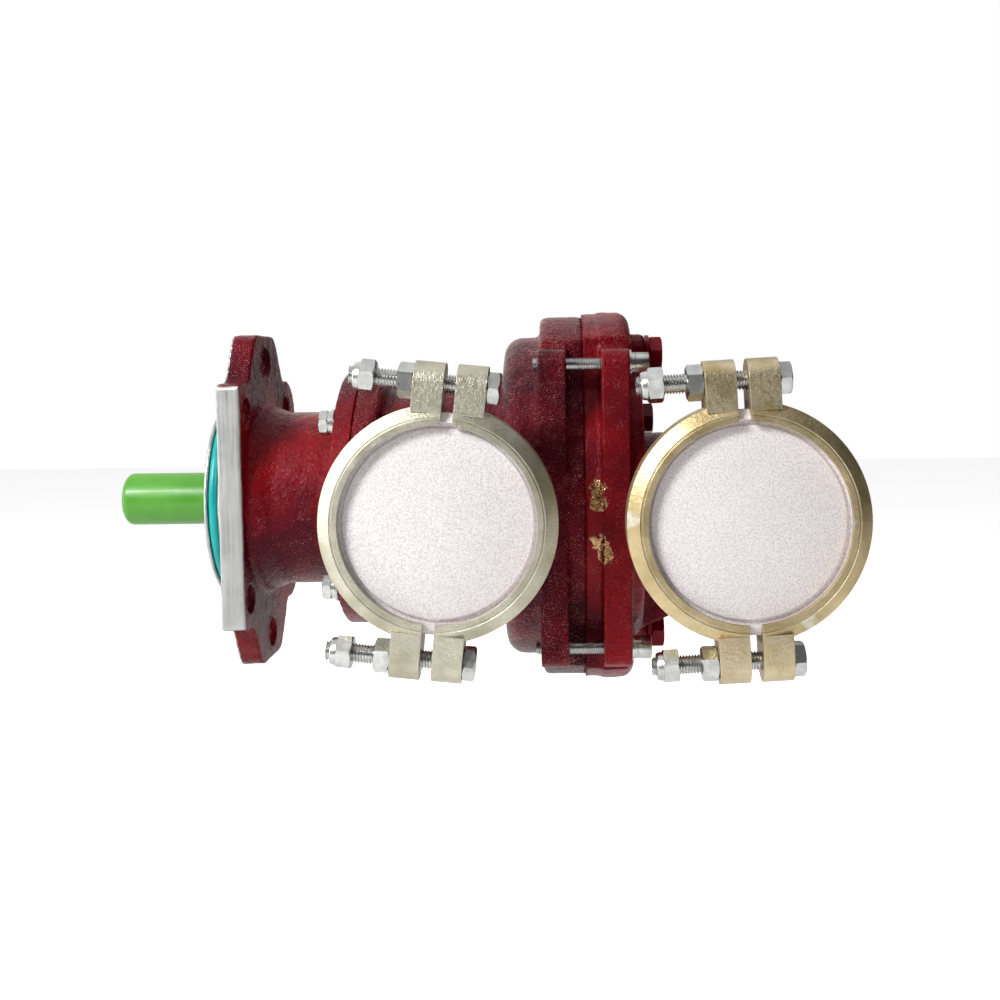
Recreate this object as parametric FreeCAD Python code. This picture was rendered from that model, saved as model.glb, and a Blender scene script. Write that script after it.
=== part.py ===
"""Engine-driven raw water pump, flange mounted, with two blanked V-clamp ports.

Units are millimetres. The origin is the centre of the mounting face, on the shaft's axis.
+X runs along the shaft towards the suction end, both ports face -Y and +Z is up.
"""
import FreeCAD, Part
import math
import os

V = FreeCAD.Vector
X_AXIS = V(1, 0, 0)
Y_AXIS = V(0, 1, 0)
ORIGIN = V(0, 0, 0)

# Fits, each one a radial or face clearance
press_fit = 0.02            # pieces that sit fast in one body
running_fit = 0.06          # a turning piece next to a still one
slide_fit = 0.15            # clamp flank next to the flange that it holds
clearance_hole = 0.5        # screw in a drilled hole
o_ring_fit = 0.05           # rubber ring in its groove
o_ring_play = 0.25          # side play of a ring in its groove

# Allowances of the shapes themselves
past = 1.0                  # how far a cut runs past the face that it opens
lap = 0.5                   # how far shapes that are joined run into each other

# Mounting flange and its holes
flange_t = 14.0
flange_half_y = 75.0        # half the width of the square, before one side is milled off
flange_half_z = 72.5
flange_flat_y = 61.5        # milled flat on the side of the ports
flange_corner_r = 24.0
ear_reach = 101.0           # top of an ear, from the shaft
ear_root_half = 42.5        # half width of an ear where it leaves the square
ear_top_half = 24.0
ear_corner_r = 14.0
ear_root_r = 7.0
ear_hole_z = 84.5
ear_hole_r = 8.5
corner_hole_y = 49.0
corner_hole_z = 54.0
corner_hole_r = 8.2

# Locating spigot and its O-ring
spigot_r = 60.0
spigot_reach = 9.5
spigot_chamfer = 0.8
spigot_land = 2.3
spigot_cord_r = 2.65
spigot_groove_w = 5.9

# Neck of the bearing housing
neck_r = 53.3
neck_ring_r = 57.0
neck_ring_w = 4.5
neck_ring_taper = 9.0
neck_fillet = 6.0
neck_ring_fillet = 3.0
housing_end = 77.0          # joint of housing and discharge casing
joint_flange_r = 78.0
housing_flange_t = 11.5
casing_flange_t = 14.5
joint_corner_r = 2.0
register_r = 50.0
register_depth = 3.5
register_cord_r = 1.3
joint_screw_pitch_r = 68.0
joint_screw_count = 4
spot_face_r = 9.0           # machined seat under a washer
spot_face_reach = 12.0

# Shaft line and bearings, drive end first
shaft_drive_r = 12.5
shaft_drive_end = -70.5
shaft_step = -2.0
shaft_bearing_r = 15.0
shaft_seal_r = 17.5
shaft_wet_r = 14.0
shaft_impeller_r = 12.0
shaft_thread_r = 9.8
shaft_chamfer = 1.5
keyway_w = 8.0
keyway_depth = 4.0
keyway_length = 38.0
keyway_start = 5.0          # from the drive end
front_bearing_x = 4.0
front_bearing_w = 19.0
front_bearing_r = 36.0
front_ball_r = 6.15
front_pitch_r = 25.5
front_ball_count = 8
rear_bearing_x = 46.0
rear_bearing_w = 16.0
rear_bearing_r = 31.0
rear_ball_r = 4.76
rear_pitch_r = 23.0
rear_ball_count = 9
ring_land = 0.62            # ring shoulder height as a share of the ball
groove_fit = 0.05           # ball to groove
cage_t = 2.2
cage_web = 1.3
housing_core_r = 27.0       # opening between the two bearings
housing_circlip_t = 2.3
housing_circlip_depth = 1.9
housing_circlip_w = 5.0
housing_circlip_gap = 14.0
shaft_circlip_t = 1.6
shaft_circlip_depth = 1.0
shaft_circlip_w = 3.4
shaft_circlip_gap = 8.0
spacer_r = 19.0
oil_seal_gap = 1.0          # rear bearing to oil seal
oil_seal_w = 8.0
oil_seal_lip_w = 2.0
oil_seal_wall = 2.5
oil_seal_web_gap = 1.5
slinger_gap = 1.2
slinger_w = 3.0
slinger_r = 27.0
weep_r = 3.0
weep_back = 8.0             # ahead of the seal's seat

# Mechanical seal
seat_x = 98.0
seat_w = 9.0
seat_r = 24.0
seat_shoulder = 3.0         # lip of the casing behind the seat
seat_bore_gap = 0.6         # seat to shaft
seat_cord_r = 1.2
seal_face_gap = 0.05
seal_head_w = 19.0
seal_head_r = 22.0
seal_nose_w = 4.0
seal_nose_step = 3.0
seal_wire_r = 1.3
seal_coil_r = 18.0
seal_turns = 4.0
spring_seat_gap = 0.1

# Discharge casing
drum_r_small = 66.0
drum_r_large = 75.0
shoulder_x = 162.5
shoulder_r = 97.6
shoulder_round = 11.0
rim_x = 184.0
rim_r = 110.0
rim_round = 4.0
joint_x = 209.4             # joint of the two casings
core_r = 88.0               # round core of the casings behind the cut-off rims
rim_flat_y = 58.0           # rims are cut off flat here, towards the ports
ear_face_y = 88.5
ear_half_z = 88.5
ear_plate_r = 9.0
ear_root_y = 38.0
ear_root_round = 1.0
left_ear_w = 15.5
casing_wall = 8.0
collector_x = 103.0
seal_tube_r = 34.0
seal_tube_bore_r = 28.0
back_plate_x = 160.0
back_plate_t = 5.0
back_plate_r = 58.0
chamber_x = 170.0
chamber_r = 73.0
seal_tube_gap = 8.0         # seal tube to the opening of the port
throat_lap = 4.0

# Suction casing
suction_rim_r = 112.5
suction_rim_end = 238.0
suction_rim_round = 8.0
suction_step_w = 8.5        # band beside the joint, a little lower than the rim
suction_step = 0.9
end_wall_x = 243.5
end_wall_round = 5.0
end_boss_x = 248.5          # seats of the casing screws
end_boss_r = 12.5
end_boss_round = 2.5
end_boss_root = 15.0
right_ear_end = 234.5
right_ear_w = 15.5
boss_face_x = 198.0         # wall beside the impeller
boss_face_r = 62.0
boss_register_w = 5.0
casing_cord_r = 1.75
casing_cord_pitch_r = 76.5
elbow_bend_r = 42.0
elbow_r = 38.0
suction_bore_r = 29.0
web_t = 12.0
web_y = 22.0                # nearer face of the web to the shaft, towards the ports
web_low = 78.0              # foot of the web on the end wall, below the shaft
web_high = 15.0
web_mid_length = 16.0
web_mid_low = 71.0
web_length = 50.0
web_end_low = 38.0

# Ports, V-flanges and covers
discharge_port_x = 133.7
suction_port_x = 289.5
discharge_port_y = 131.0    # middle plane of the clamp, in front of the shaft
suction_port_y = 140.0
port_wall = 6.0
port_throat_r = 30.0
port_inlet_r = 26.0
port_flare_r = 53.0
port_flare_back = 32.0      # end of the flare, behind the clamp's middle plane
port_cone_length = 20.0
port_root = 40.0            # start of a port's pipe inside the casing
port_neck_step = 3.0
port_neck_gap = 4.0
port_neck_back = 10.0
v_flange_r = 56.7
v_flange_rise = 10.7        # how far the flange stands out of its pipe
v_flange_t = 5.0            # straight part and half the gasket
v_slope = 0.62              # rise of the flank for each millimetre of radius
gasket_t = 1.6
gasket_margin = 1.0
cover_disc_inset = 7.7      # raised middle, in from the flange's edge
cover_disc_face = 6.5
cover_moat_inset = 5.1
cover_moat_face = 4.0
cover_rim_w = 0.8
cover_chamfer = 0.8

# Clamp rings and lugs
clamp_half_w = 12.0
clamp_wall = 4.3            # ring outside the flange's edge
clamp_lip_inset = 2.7
clamp_lip_w = 3.5
clamp_crown_w = 7.5
clamp_gap = 6.2
lug_w = 15.5
lug_bolt_out = 14.3         # bolt outside the flange's edge
lug_crown = 10.7            # lug round the bolt
lug_foot_r = 2.0
lug_foot_inset = 2.0
lug_crown_flat = 0.4
discharge_clamp_turn = 6.0  # degrees, clockwise as the ports are looked at
suction_clamp_turn = -2.75

# Fasteners: thread radius, across flats, head height
hex_face_share = 0.96       # share of the flats' width left flat by the end chamfer
hex_chamfer_angle = 30.0
thread_run_out = 2.0        # depth of a threaded hole past its screw
m10_r = 5.0
m10_flats = 16.0
m10_head = 6.4
m10_nut = 8.4
m10_lock_nut = 11.4
m10_lock_collar = 3.4
m10_collar_r = 7.2
m10_free_thread = 11.5
m10_tip = 2.0
m8_r = 4.0
m8_flats = 13.0
m8_head = 5.3
m8_spring_t = 2.0
m8_washer_t = 1.6
m8_washer_r = 8.0
m8_socket_r = 6.5
m8_socket_head = 8.0
m8_socket_flats = 6.0
m8_socket_depth = 4.5
m8_head_round = 0.8
m8_spring_gap = 0.1
m8_flat_gap = 0.2
housing_screw_length = 25.0
cap_screw_y = 70.0
cap_screw_z = 80.0
cap_screw_tip = 3.0
m12_r = 6.0
m12_flats = 19.0
m12_head = 8.0
m12_washer_t = 2.5
m12_washer_r = 11.5
casing_screw_pitch_r = 86.5
casing_screw_angles = (90.0, 270.0, 30.0, 330.0)
casing_screw_length = 60.0

# Impeller
impeller_hub_x = 152.0
impeller_hub_r = 18.0
impeller_hub_end = 188.0
impeller_hub_taper = 4.0
impeller_hub_chamfer = 1.0
impeller_back_x = 168.0
impeller_back_t = 3.0
impeller_back_slope_r = 37.0
impeller_r = 62.0
impeller_tip_width = 11.0
impeller_shroud_t = 3.0
impeller_shroud_bends = ((3.0, 44.6), (7.0, 34.1))      # forward of the tip, radius
impeller_eye_rise = 12.0
impeller_eye_r = 27.5
impeller_eye_end = 206.0
impeller_eye_wall = 3.5
blade_count = 7
blade_t = 3.0
blade_arc_r = 38.0
blade_arc_offset = 34.0
blade_tip_inset = 0.5
blade_root_lap = 2.0
impeller_key_w = 6.0
impeller_key_length = 22.0
impeller_washer_t = 2.0
impeller_washer_r = 16.0
impeller_nut_w = 12.0
impeller_nut_flats = 28.0
shaft_wet_end = 202.5
wear_ring_w = 8.5
wear_ring_t = 5.0

# Green cap over the drive end
protector_r = 16.0
protector_wall = 3.3
protector_end_gap = 0.3
protector_length = 62.0
protector_round = 4.0


# Basic shapes

def disc(x0, x1, r, y=0.0, z=0.0):
    return Part.makeCylinder(r, x1 - x0, V(x0, y, z), X_AXIS)


def tube(x0, x1, r_out, r_in, y=0.0, z=0.0):
    return disc(x0, x1, r_out, y, z).cut(disc(x0 - past, x1 + past, r_in, y, z))


def block(x0, x1, y0, y1, z0, z1):
    return Part.makeBox(x1 - x0, y1 - y0, z1 - z0, V(x0, y0, z0))


def face_of(points):
    return Part.Face(Part.makePolygon(points + [points[0]]))


def turned(profile):
    """Solid turned about the shaft from (x, radius) corners."""
    return face_of([V(x, 0, r) for x, r in profile]).revolve(ORIGIN, X_AXIS, 360)


def port_turned(profile):
    """Solid turned about a port's axis from (radius, forward) corners, with the port at the origin."""
    return face_of([V(r, -forward, 0) for r, forward in profile]).revolve(ORIGIN, Y_AXIS, 360)


def rounded_outline(corners, x):
    """Closed wire in the plane at x, from (y, z, corner radius) with an arc at each corner."""
    points = [(V(x, y, z), r) for y, z, r in corners]
    edges = []
    ends = []
    for i, (corner, radius) in enumerate(points):
        before = (points[i - 1][0] - corner).normalize()
        after = (points[(i + 1) % len(points)][0] - corner).normalize()
        half = before.getAngle(after) / 2
        middle = (before + after).normalize()
        back = radius / math.tan(half)
        start = corner + before * back
        end = corner + after * back
        crown = corner + middle * (radius / math.sin(half) - radius)
        ends.append((start, crown, end))
    for i, (start, crown, end) in enumerate(ends):
        edges.append(Part.LineSegment(ends[i - 1][2], start).toShape())
        edges.append(Part.Arc(start, crown, end).toShape())
    return Part.Wire(edges)


def plate(corners, x0, x1):
    return Part.Face(rounded_outline(corners, x0)).extrude(V(x1 - x0, 0, 0))


def fillet_rings(shape, radius, rings):
    """Rounds the full circles about the shaft that lie at the given (x, radius) pairs."""
    chosen = []
    for edge in shape.Edges:
        if not isinstance(edge.Curve, Part.Circle):
            continue
        centre = edge.Curve.Center
        for x, r in rings:
            near = abs(centre.x - x) < 1e-3 and abs(edge.Curve.Radius - r) < 1e-3
            if near and abs(centre.y) + abs(centre.z) < 1e-3:
                chosen.append(edge)
    return shape.makeFillet(radius, chosen)


def hexagon(flats, x0, x1, y=0.0, z=0.0):
    """Hexagon bar along the shaft's direction with chamfered corners, one flat towards the ports."""
    corner_r = flats / math.sqrt(3)
    points = []
    for i in range(6):
        a = math.radians(60 * i + 30)
        points.append(V(x0, y + corner_r * math.cos(a), z + corner_r * math.sin(a)))
    bar = face_of(points).extrude(V(x1 - x0, 0, 0))
    chamfer_r = flats / 2 * hex_face_share
    drop = (corner_r - chamfer_r) * math.tan(math.radians(hex_chamfer_angle))
    barrel = turned([(x0, 0), (x0, chamfer_r), (x0 + drop, corner_r), (x1 - drop, corner_r),
                     (x1, chamfer_r), (x1, 0)])
    barrel.translate(V(0, y, z))
    return bar.common(barrel)


def around(shape, angle):
    """Copy turned about the shaft, counter-clockwise as seen from the suction end."""
    copy = shape.copy()
    copy.rotate(ORIGIN, X_AXIS, angle)
    return copy


def at_port(shape, port_x, port_y, turn=0.0):
    copy = shape.copy()
    copy.rotate(ORIGIN, Y_AXIS, turn)
    copy.translate(V(port_x, -port_y, 0))
    return copy


# Bearing housing

def flange_corners():
    quarter = [(flange_half_y, flange_half_z, flange_corner_r),
               (ear_root_half, flange_half_z, ear_root_r),
               (ear_top_half, ear_reach, ear_corner_r)]
    top = quarter + [(-y, z, r) for y, z, r in reversed(quarter)]
    bottom = [(-y, -z, r) for y, z, r in top]
    return top + bottom


def joint_screw_places():
    step = 360.0 / joint_screw_count
    for i in range(joint_screw_count):
        a = math.radians(step / 2 + step * i)
        yield joint_screw_pitch_r * math.cos(a), joint_screw_pitch_r * math.sin(a)


spigot_cord_pitch_r = spigot_r - spigot_cord_r - o_ring_fit
spigot_groove_r = spigot_cord_pitch_r - spigot_cord_r - o_ring_fit
spigot_groove_x = -spigot_reach + spigot_land
front_bearing_end = front_bearing_x + front_bearing_w
rear_bearing_end = rear_bearing_x + rear_bearing_w
housing_flange_x = housing_end - housing_flange_t
register_end = housing_end + register_depth
register_middle = (housing_end + register_end) / 2


def make_bearing_housing():
    outside = turned([
        (-spigot_reach, 0), (-spigot_reach, spigot_r - spigot_chamfer),
        (-spigot_reach + spigot_chamfer, spigot_r), (spigot_groove_x, spigot_r),
        (spigot_groove_x, spigot_groove_r), (spigot_groove_x + spigot_groove_w, spigot_groove_r),
        (spigot_groove_x + spigot_groove_w, spigot_r), (flange_t / 2, spigot_r),
        (flange_t / 2, neck_ring_r), (flange_t + neck_ring_w, neck_ring_r),
        (flange_t + neck_ring_w + neck_ring_taper, neck_r), (housing_flange_x, neck_r),
        (housing_flange_x, joint_flange_r), (housing_end, joint_flange_r),
        (housing_end, register_r), (register_end, register_r), (register_end, 0)])
    outside = fillet_rings(outside, neck_fillet, [(housing_flange_x, neck_r)])
    outside = fillet_rings(outside, joint_corner_r, [(housing_flange_x, joint_flange_r)])
    flange = plate(flange_corners(), 0, flange_t).cut(
        block(-past, flange_t + past, -flange_half_y - past, -flange_flat_y, -ear_reach, ear_reach))
    body = outside.fuse(flange).removeSplitter()
    body = fillet_rings(body, neck_ring_fillet, [(flange_t, neck_ring_r)])
    circlip_x = front_bearing_x - housing_circlip_t
    bores = [
        disc(-spigot_reach - past, front_bearing_end, front_bearing_r + press_fit),
        disc(circlip_x, front_bearing_x, front_bearing_r + housing_circlip_depth + press_fit),
        disc(front_bearing_end - past, rear_bearing_x + past, housing_core_r),
        disc(rear_bearing_x, register_end + past, rear_bearing_r + press_fit),
        ring_groove(register_middle, register_r, register_cord_r)]
    for y, z in ((0, ear_hole_z), (0, -ear_hole_z)):
        bores.append(disc(-past, flange_t + past, ear_hole_r, y, z))
    for y in (corner_hole_y, -corner_hole_y):
        for z in (corner_hole_z, -corner_hole_z):
            bores.append(disc(-past, flange_t + past, corner_hole_r, y, z))
    for y, z in joint_screw_places():
        bores.append(disc(housing_flange_x - past, housing_end + past, m8_r + clearance_hole, y, z))
        bores.append(disc(housing_flange_x - spot_face_reach, housing_flange_x, spot_face_r, y, z))
    return body.cut(bores)


def ring_groove(x, r, cord_r):
    """Rectangular groove cut inwards from a round face of radius r, for a cord of radius cord_r."""
    half = cord_r + o_ring_play
    return tube(x - half, x + half, r + past, r - 2 * cord_r - 2 * o_ring_fit)


def make_cord_ring(x, pitch_r, cord_r):
    return Part.makeTorus(pitch_r, cord_r, V(x, 0, 0), X_AXIS)


# Ports

port_pipe_r = v_flange_r - v_flange_rise
port_bore_r = port_pipe_r - port_wall
cover_disc_r = v_flange_r - cover_disc_inset
cover_moat_r = v_flange_r - cover_moat_inset
clamp_r = v_flange_r + clamp_wall
clamp_lip_r = v_flange_r - clamp_lip_inset
lug_bolt_r = v_flange_r + lug_bolt_out
lug_top_r = lug_bolt_r + lug_crown


def flank(radius, base_r, base_forward):
    """How far forward the V flank lies at a radius, rising inwards from its outer corner."""
    return base_forward + (base_r - radius) * v_slope


def make_port_flange():
    """Turned V-flange on the end of a port pipe, its face behind the gasket, pointing forward."""
    face = gasket_t / 2
    inner = port_pipe_r + port_neck_step
    back = clamp_half_w + port_neck_back
    return port_turned([
        (0, -face), (v_flange_r, -face), (v_flange_r, -v_flange_t),
        (inner, -flank(inner, v_flange_r, v_flange_t)), (port_pipe_r, -clamp_half_w - port_neck_gap),
        (port_pipe_r, -back), (0, -back)])


def bar_y(x, y0, y1, r0, r1=None):
    """Round bar along a port's axis from y0 to y1, both measured towards the viewer."""
    if r1 is None:
        return Part.makeCylinder(r0, y1 - y0, V(x, -y0, 0), V(0, -1, 0))
    return Part.makeCone(r0, r1, y1 - y0, V(x, -y0, 0), V(0, -1, 0))


# Discharge casing

def ear_plate(x0, x1):
    corners = [(-ear_face_y, -ear_half_z, ear_plate_r), (-ear_face_y, ear_half_z, ear_plate_r),
               (-ear_root_y, ear_half_z, ear_root_round), (-ear_root_y, -ear_half_z, ear_root_round)]
    return plate(corners, x0, x1)


def trim_rim(rim, x0, x1):
    """Cuts a rim off flat on the side of the ports."""
    reach = max(rim_r, suction_rim_r) + past
    return rim.cut(block(x0 - past, x1 + past, -reach, -rim_flat_y, -reach, reach))


def casing_screw_places():
    for angle in casing_screw_angles:
        a = math.radians(angle)
        yield casing_screw_pitch_r * math.cos(a), casing_screw_pitch_r * math.sin(a)


def cap_screw_places():
    return [(-cap_screw_y, cap_screw_z), (-cap_screw_y, -cap_screw_z)]


def spread(shape, places, x=0.0):
    copies = []
    for y, z in places:
        copy = shape.copy()
        copy.translate(V(x, y, z))
        copies.append(copy)
    return Part.makeCompound(copies)


casing_flange_end = housing_end + casing_flange_t
left_ear_end = rim_x + left_ear_w
right_ear_x = right_ear_end - right_ear_w
seat_end = seat_x + seat_w
back_plate_end = back_plate_x + back_plate_t


def make_discharge_casing():
    drum = turned([(housing_end, 0), (housing_end, joint_flange_r),
                   (casing_flange_end, joint_flange_r), (casing_flange_end, drum_r_small),
                   (shoulder_x, drum_r_large), (shoulder_x, shoulder_r), (rim_x, shoulder_r),
                   (rim_x, core_r), (joint_x, core_r), (joint_x, 0)])
    drum = fillet_rings(drum, shoulder_round, [(shoulder_x, shoulder_r)])
    drum = fillet_rings(drum, joint_corner_r, [(casing_flange_end, joint_flange_r)])
    rim = fillet_rings(disc(rim_x, joint_x, rim_r), rim_round, [(rim_x, rim_r)])
    rim = trim_rim(rim, rim_x, joint_x)
    pipe = bar_y(discharge_port_x, port_root, discharge_port_y - clamp_half_w, port_pipe_r)
    flare = bar_y(discharge_port_x, port_root, discharge_port_y - port_flare_back, port_flare_r,
                  port_pipe_r)
    flange = at_port(make_port_flange(), discharge_port_x, discharge_port_y)
    body = drum.fuse([rim, ear_plate(rim_x, left_ear_end), pipe, flare, flange])
    cord_half_w = casing_cord_r + o_ring_play
    collector = turned([
        (collector_x, seal_tube_r), (collector_x, drum_r_small - casing_wall),
        (back_plate_x, drum_r_large - casing_wall), (chamber_x, chamber_r),
        (joint_x + past, chamber_r), (joint_x + past, 0), (back_plate_end, 0),
        (back_plate_end, back_plate_r), (back_plate_x, back_plate_r),
        (back_plate_x, seal_tube_r)])
    cuts = [
        collector,
        disc(seat_end, back_plate_end + past, seal_tube_bore_r),
        disc(seat_x, seat_end + past, seat_r + press_fit),
        disc(register_end, seat_x + past, seat_r - seat_shoulder),
        disc(housing_end - past, register_end, register_r + press_fit),
        tube(joint_x - 2 * casing_cord_r - 2 * o_ring_fit, joint_x,
             casing_cord_pitch_r + cord_half_w, casing_cord_pitch_r - cord_half_w),
        bar_y(discharge_port_x, seal_tube_r + seal_tube_gap, drum_r_large - casing_wall, port_inlet_r),
        bar_y(discharge_port_x, drum_r_small - casing_wall + throat_lap, discharge_port_y,
              port_throat_r, port_bore_r),
        Part.makeCylinder(weep_r, joint_flange_r + past, V(seat_x - weep_back, 0, 0), V(0, 0, -1))]
    for y, z in joint_screw_places():
        hole_end = housing_flange_x + housing_screw_length + thread_run_out
        cuts.append(disc(housing_end - past, hole_end, m8_r + press_fit, y, z))
    for y, z in casing_screw_places():
        hole_start = end_boss_x - casing_screw_length - thread_run_out
        cuts.append(disc(hole_start, joint_x + past, m12_r + press_fit, y, z))
    for y, z in cap_screw_places():
        cuts.append(disc(rim_x - cap_screw_tip, left_ear_end + past, m8_r + press_fit, y, z))
    return body.cut(cuts)


# Suction casing

def make_elbow(r, x_from):
    """Quarter bend from the shaft's line to the suction port's axis, with a straight lead."""
    bend_x = suction_port_x - elbow_bend_r
    circle = Part.Face(Part.Wire(Part.makeCircle(r, V(bend_x, 0, 0), X_AXIS)))
    bend = circle.revolve(V(bend_x, -elbow_bend_r, 0), V(0, 0, -1), 90)
    return bend.fuse(disc(x_from, bend_x, r))


def make_suction_casing():
    wall = disc(joint_x, end_wall_x, core_r)
    wall = fillet_rings(wall, end_wall_round, [(end_wall_x, core_r)])
    low_r = suction_rim_r - suction_step
    step_x = joint_x + suction_step_w
    rim = turned([(joint_x, 0), (joint_x, low_r), (step_x, low_r),
                  (step_x + suction_step, suction_rim_r), (suction_rim_end, suction_rim_r),
                  (suction_rim_end, 0)])
    rim = fillet_rings(rim, suction_rim_round, [(suction_rim_end, suction_rim_r)])
    rim = trim_rim(rim, joint_x, suction_rim_end)
    screw_boss = disc(suction_rim_end - end_boss_root, end_boss_x, end_boss_r)
    screw_boss = fillet_rings(screw_boss, end_boss_round, [(end_boss_x, end_boss_r)])
    bosses = spread(screw_boss, casing_screw_places()).Solids
    inner_boss = turned([(joint_x, 0), (joint_x, chamber_r - running_fit),
                         (joint_x - boss_register_w, chamber_r - running_fit),
                         (boss_face_x, boss_face_r), (boss_face_x, 0)])
    cone_end = suction_port_y - 2 * clamp_half_w - port_cone_length
    outer = [make_elbow(elbow_r, end_wall_x - past),
             bar_y(suction_port_x, elbow_bend_r, cone_end, elbow_r, port_pipe_r),
             bar_y(suction_port_x, cone_end, suction_port_y - clamp_half_w, port_pipe_r),
             at_port(make_port_flange(), suction_port_x, suction_port_y)]
    web_profile = [(end_wall_x - past, -web_low), (end_wall_x + web_mid_length, -web_mid_low),
                   (end_wall_x + web_length, -web_end_low), (end_wall_x + web_length, -web_high),
                   (end_wall_x - past, -web_high)]
    web = face_of([V(x, -web_y, z) for x, z in web_profile]).extrude(V(0, -web_t, 0))
    body = wall.fuse([rim, ear_plate(right_ear_x, right_ear_end), inner_boss, web] + bosses + outer)
    ring_seat_r = eye_outer_r + wear_ring_t
    cuts = [
        make_elbow(suction_bore_r, boss_face_x - past),
        disc(boss_face_x - past, boss_face_x + wear_ring_w, ring_seat_r + press_fit),
        disc(boss_face_x - past, impeller_eye_end + past, eye_outer_r + past),
        bar_y(suction_port_x, elbow_bend_r, suction_port_y, suction_bore_r, port_bore_r)]
    for y, z in casing_screw_places():
        cuts.append(disc(joint_x - past, end_boss_x + past, m12_r + clearance_hole, y, z))
    for y, z in cap_screw_places():
        cuts.append(disc(right_ear_x - past, right_ear_end + past, m8_r + clearance_hole, y, z))
    return body.cut(cuts)


# Fasteners of the castings

washer_pair_t = m8_washer_t + m8_spring_t


def make_hex_screw(flats, head, shank_r, length):
    """Hex screw with its head's seat at x = 0, the head towards -X and the shank towards +X."""
    return hexagon(flats, -head, 0).fuse(disc(-lap, length, shank_r))


def make_washer_pair():
    """Flat washer with a spring washer on it, both towards -X of the seat at x = 0."""
    flat = tube(-m8_washer_t, 0, m8_washer_r, m8_r + m8_flat_gap)
    spring = tube(-washer_pair_t, -m8_washer_t, m8_flats / 2, m8_r + m8_spring_gap)
    return flat.fuse(spring)


def make_housing_screws():
    screw = make_hex_screw(m8_flats, m8_head, m8_r, housing_screw_length + washer_pair_t)
    return spread(screw, joint_screw_places(), housing_flange_x - washer_pair_t)


def make_casing_screws():
    """Painted hex screws that hold the suction casing, driven from the suction end."""
    screw = make_hex_screw(m12_flats, m12_head, m12_r, casing_screw_length)
    screw.rotate(ORIGIN, Y_AXIS, 180)
    return spread(screw, casing_screw_places(), end_boss_x + m12_washer_t)


def make_cap_screws():
    seat = washer_pair_t
    head_end = seat + m8_socket_head
    head = disc(seat, head_end, m8_socket_r)
    head = fillet_rings(head, m8_head_round, [(head_end, m8_socket_r)])
    shank = disc(rim_x - cap_screw_tip - right_ear_end, seat + lap, m8_r)
    socket = hexagon(m8_socket_flats, head_end - m8_socket_depth, head_end + past)
    return spread(head.fuse(shank).cut(socket), cap_screw_places(), right_ear_end)


def make_cap_washers():
    washers = make_washer_pair()
    washers.rotate(ORIGIN, Y_AXIS, 180)
    return spread(washers, cap_screw_places(), right_ear_end)


# Bearings

def bearing_radii(pitch_r, ball_r):
    return pitch_r - ball_r * ring_land, pitch_r + ball_r * ring_land


def make_bearing(x, width, bore_r, outer_r, pitch_r, ball_r, count):
    """Outer ring, inner ring, balls and cage of a deep groove ball bearing."""
    middle = x + width / 2
    groove = Part.makeTorus(pitch_r, ball_r + groove_fit, V(middle, 0, 0), X_AXIS)
    inner_land, outer_land = bearing_radii(pitch_r, ball_r)
    outer_ring = tube(x, x + width, outer_r, outer_land).cut(groove)
    inner_ring = tube(x, x + width, inner_land, bore_r + press_fit).cut(groove)
    half = ball_r + cage_web
    cage = tube(middle - half, middle + half, pitch_r + cage_t / 2, pitch_r - cage_t / 2)
    balls = []
    pockets = []
    for i in range(count):
        a = 2 * math.pi * i / count
        centre = V(middle, pitch_r * math.cos(a), pitch_r * math.sin(a))
        balls.append(Part.makeSphere(ball_r, centre))
        pockets.append(Part.makeSphere(ball_r + 2 * groove_fit, centre))
    return outer_ring, inner_ring, Part.makeCompound(balls), cage.cut(pockets)


def open_ring(x0, x1, r_out, r_in, gap):
    """Spring ring with a gap at the top."""
    ring = tube(x0, x1, r_out, r_in)
    return ring.cut(block(x0 - past, x1 + past, -gap / 2, gap / 2, 0, r_out + past))


def make_bearing_circlip():
    x = front_bearing_x - housing_circlip_t + press_fit
    outer = front_bearing_r + housing_circlip_depth - press_fit
    inner = outer - housing_circlip_w
    return open_ring(x, front_bearing_x - press_fit, outer, inner, housing_circlip_gap)


def make_shaft_circlip():
    x = front_bearing_x - shaft_circlip_t
    inner = shaft_bearing_r - shaft_circlip_depth + press_fit
    outer = inner + shaft_circlip_w
    return open_ring(x + press_fit, front_bearing_x - press_fit, outer, inner, shaft_circlip_gap)


def make_oil_seal():
    """Pressed ring with a thin web and a lip that runs on the shaft."""
    x = rear_bearing_end + oil_seal_gap
    end = x + oil_seal_w
    lip = shaft_seal_r + running_fit
    lip_end = end - oil_seal_wall
    case_in = rear_bearing_r - oil_seal_wall
    web_in = lip + oil_seal_wall + oil_seal_web_gap
    return turned([(x, rear_bearing_r), (end, rear_bearing_r), (end, lip + oil_seal_web_gap),
                   (lip_end, lip), (lip_end - oil_seal_lip_w, lip),
                   (lip_end - oil_seal_lip_w - lap, lip + oil_seal_wall),
                   (end - oil_seal_lip_w, web_in), (end - oil_seal_lip_w, case_in), (x, case_in)])


# Shaft line

slinger_x = rear_bearing_end + oil_seal_gap + oil_seal_w + slinger_gap
slinger_end = slinger_x + slinger_w
impeller_nut_x = impeller_hub_end + impeller_washer_t


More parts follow.
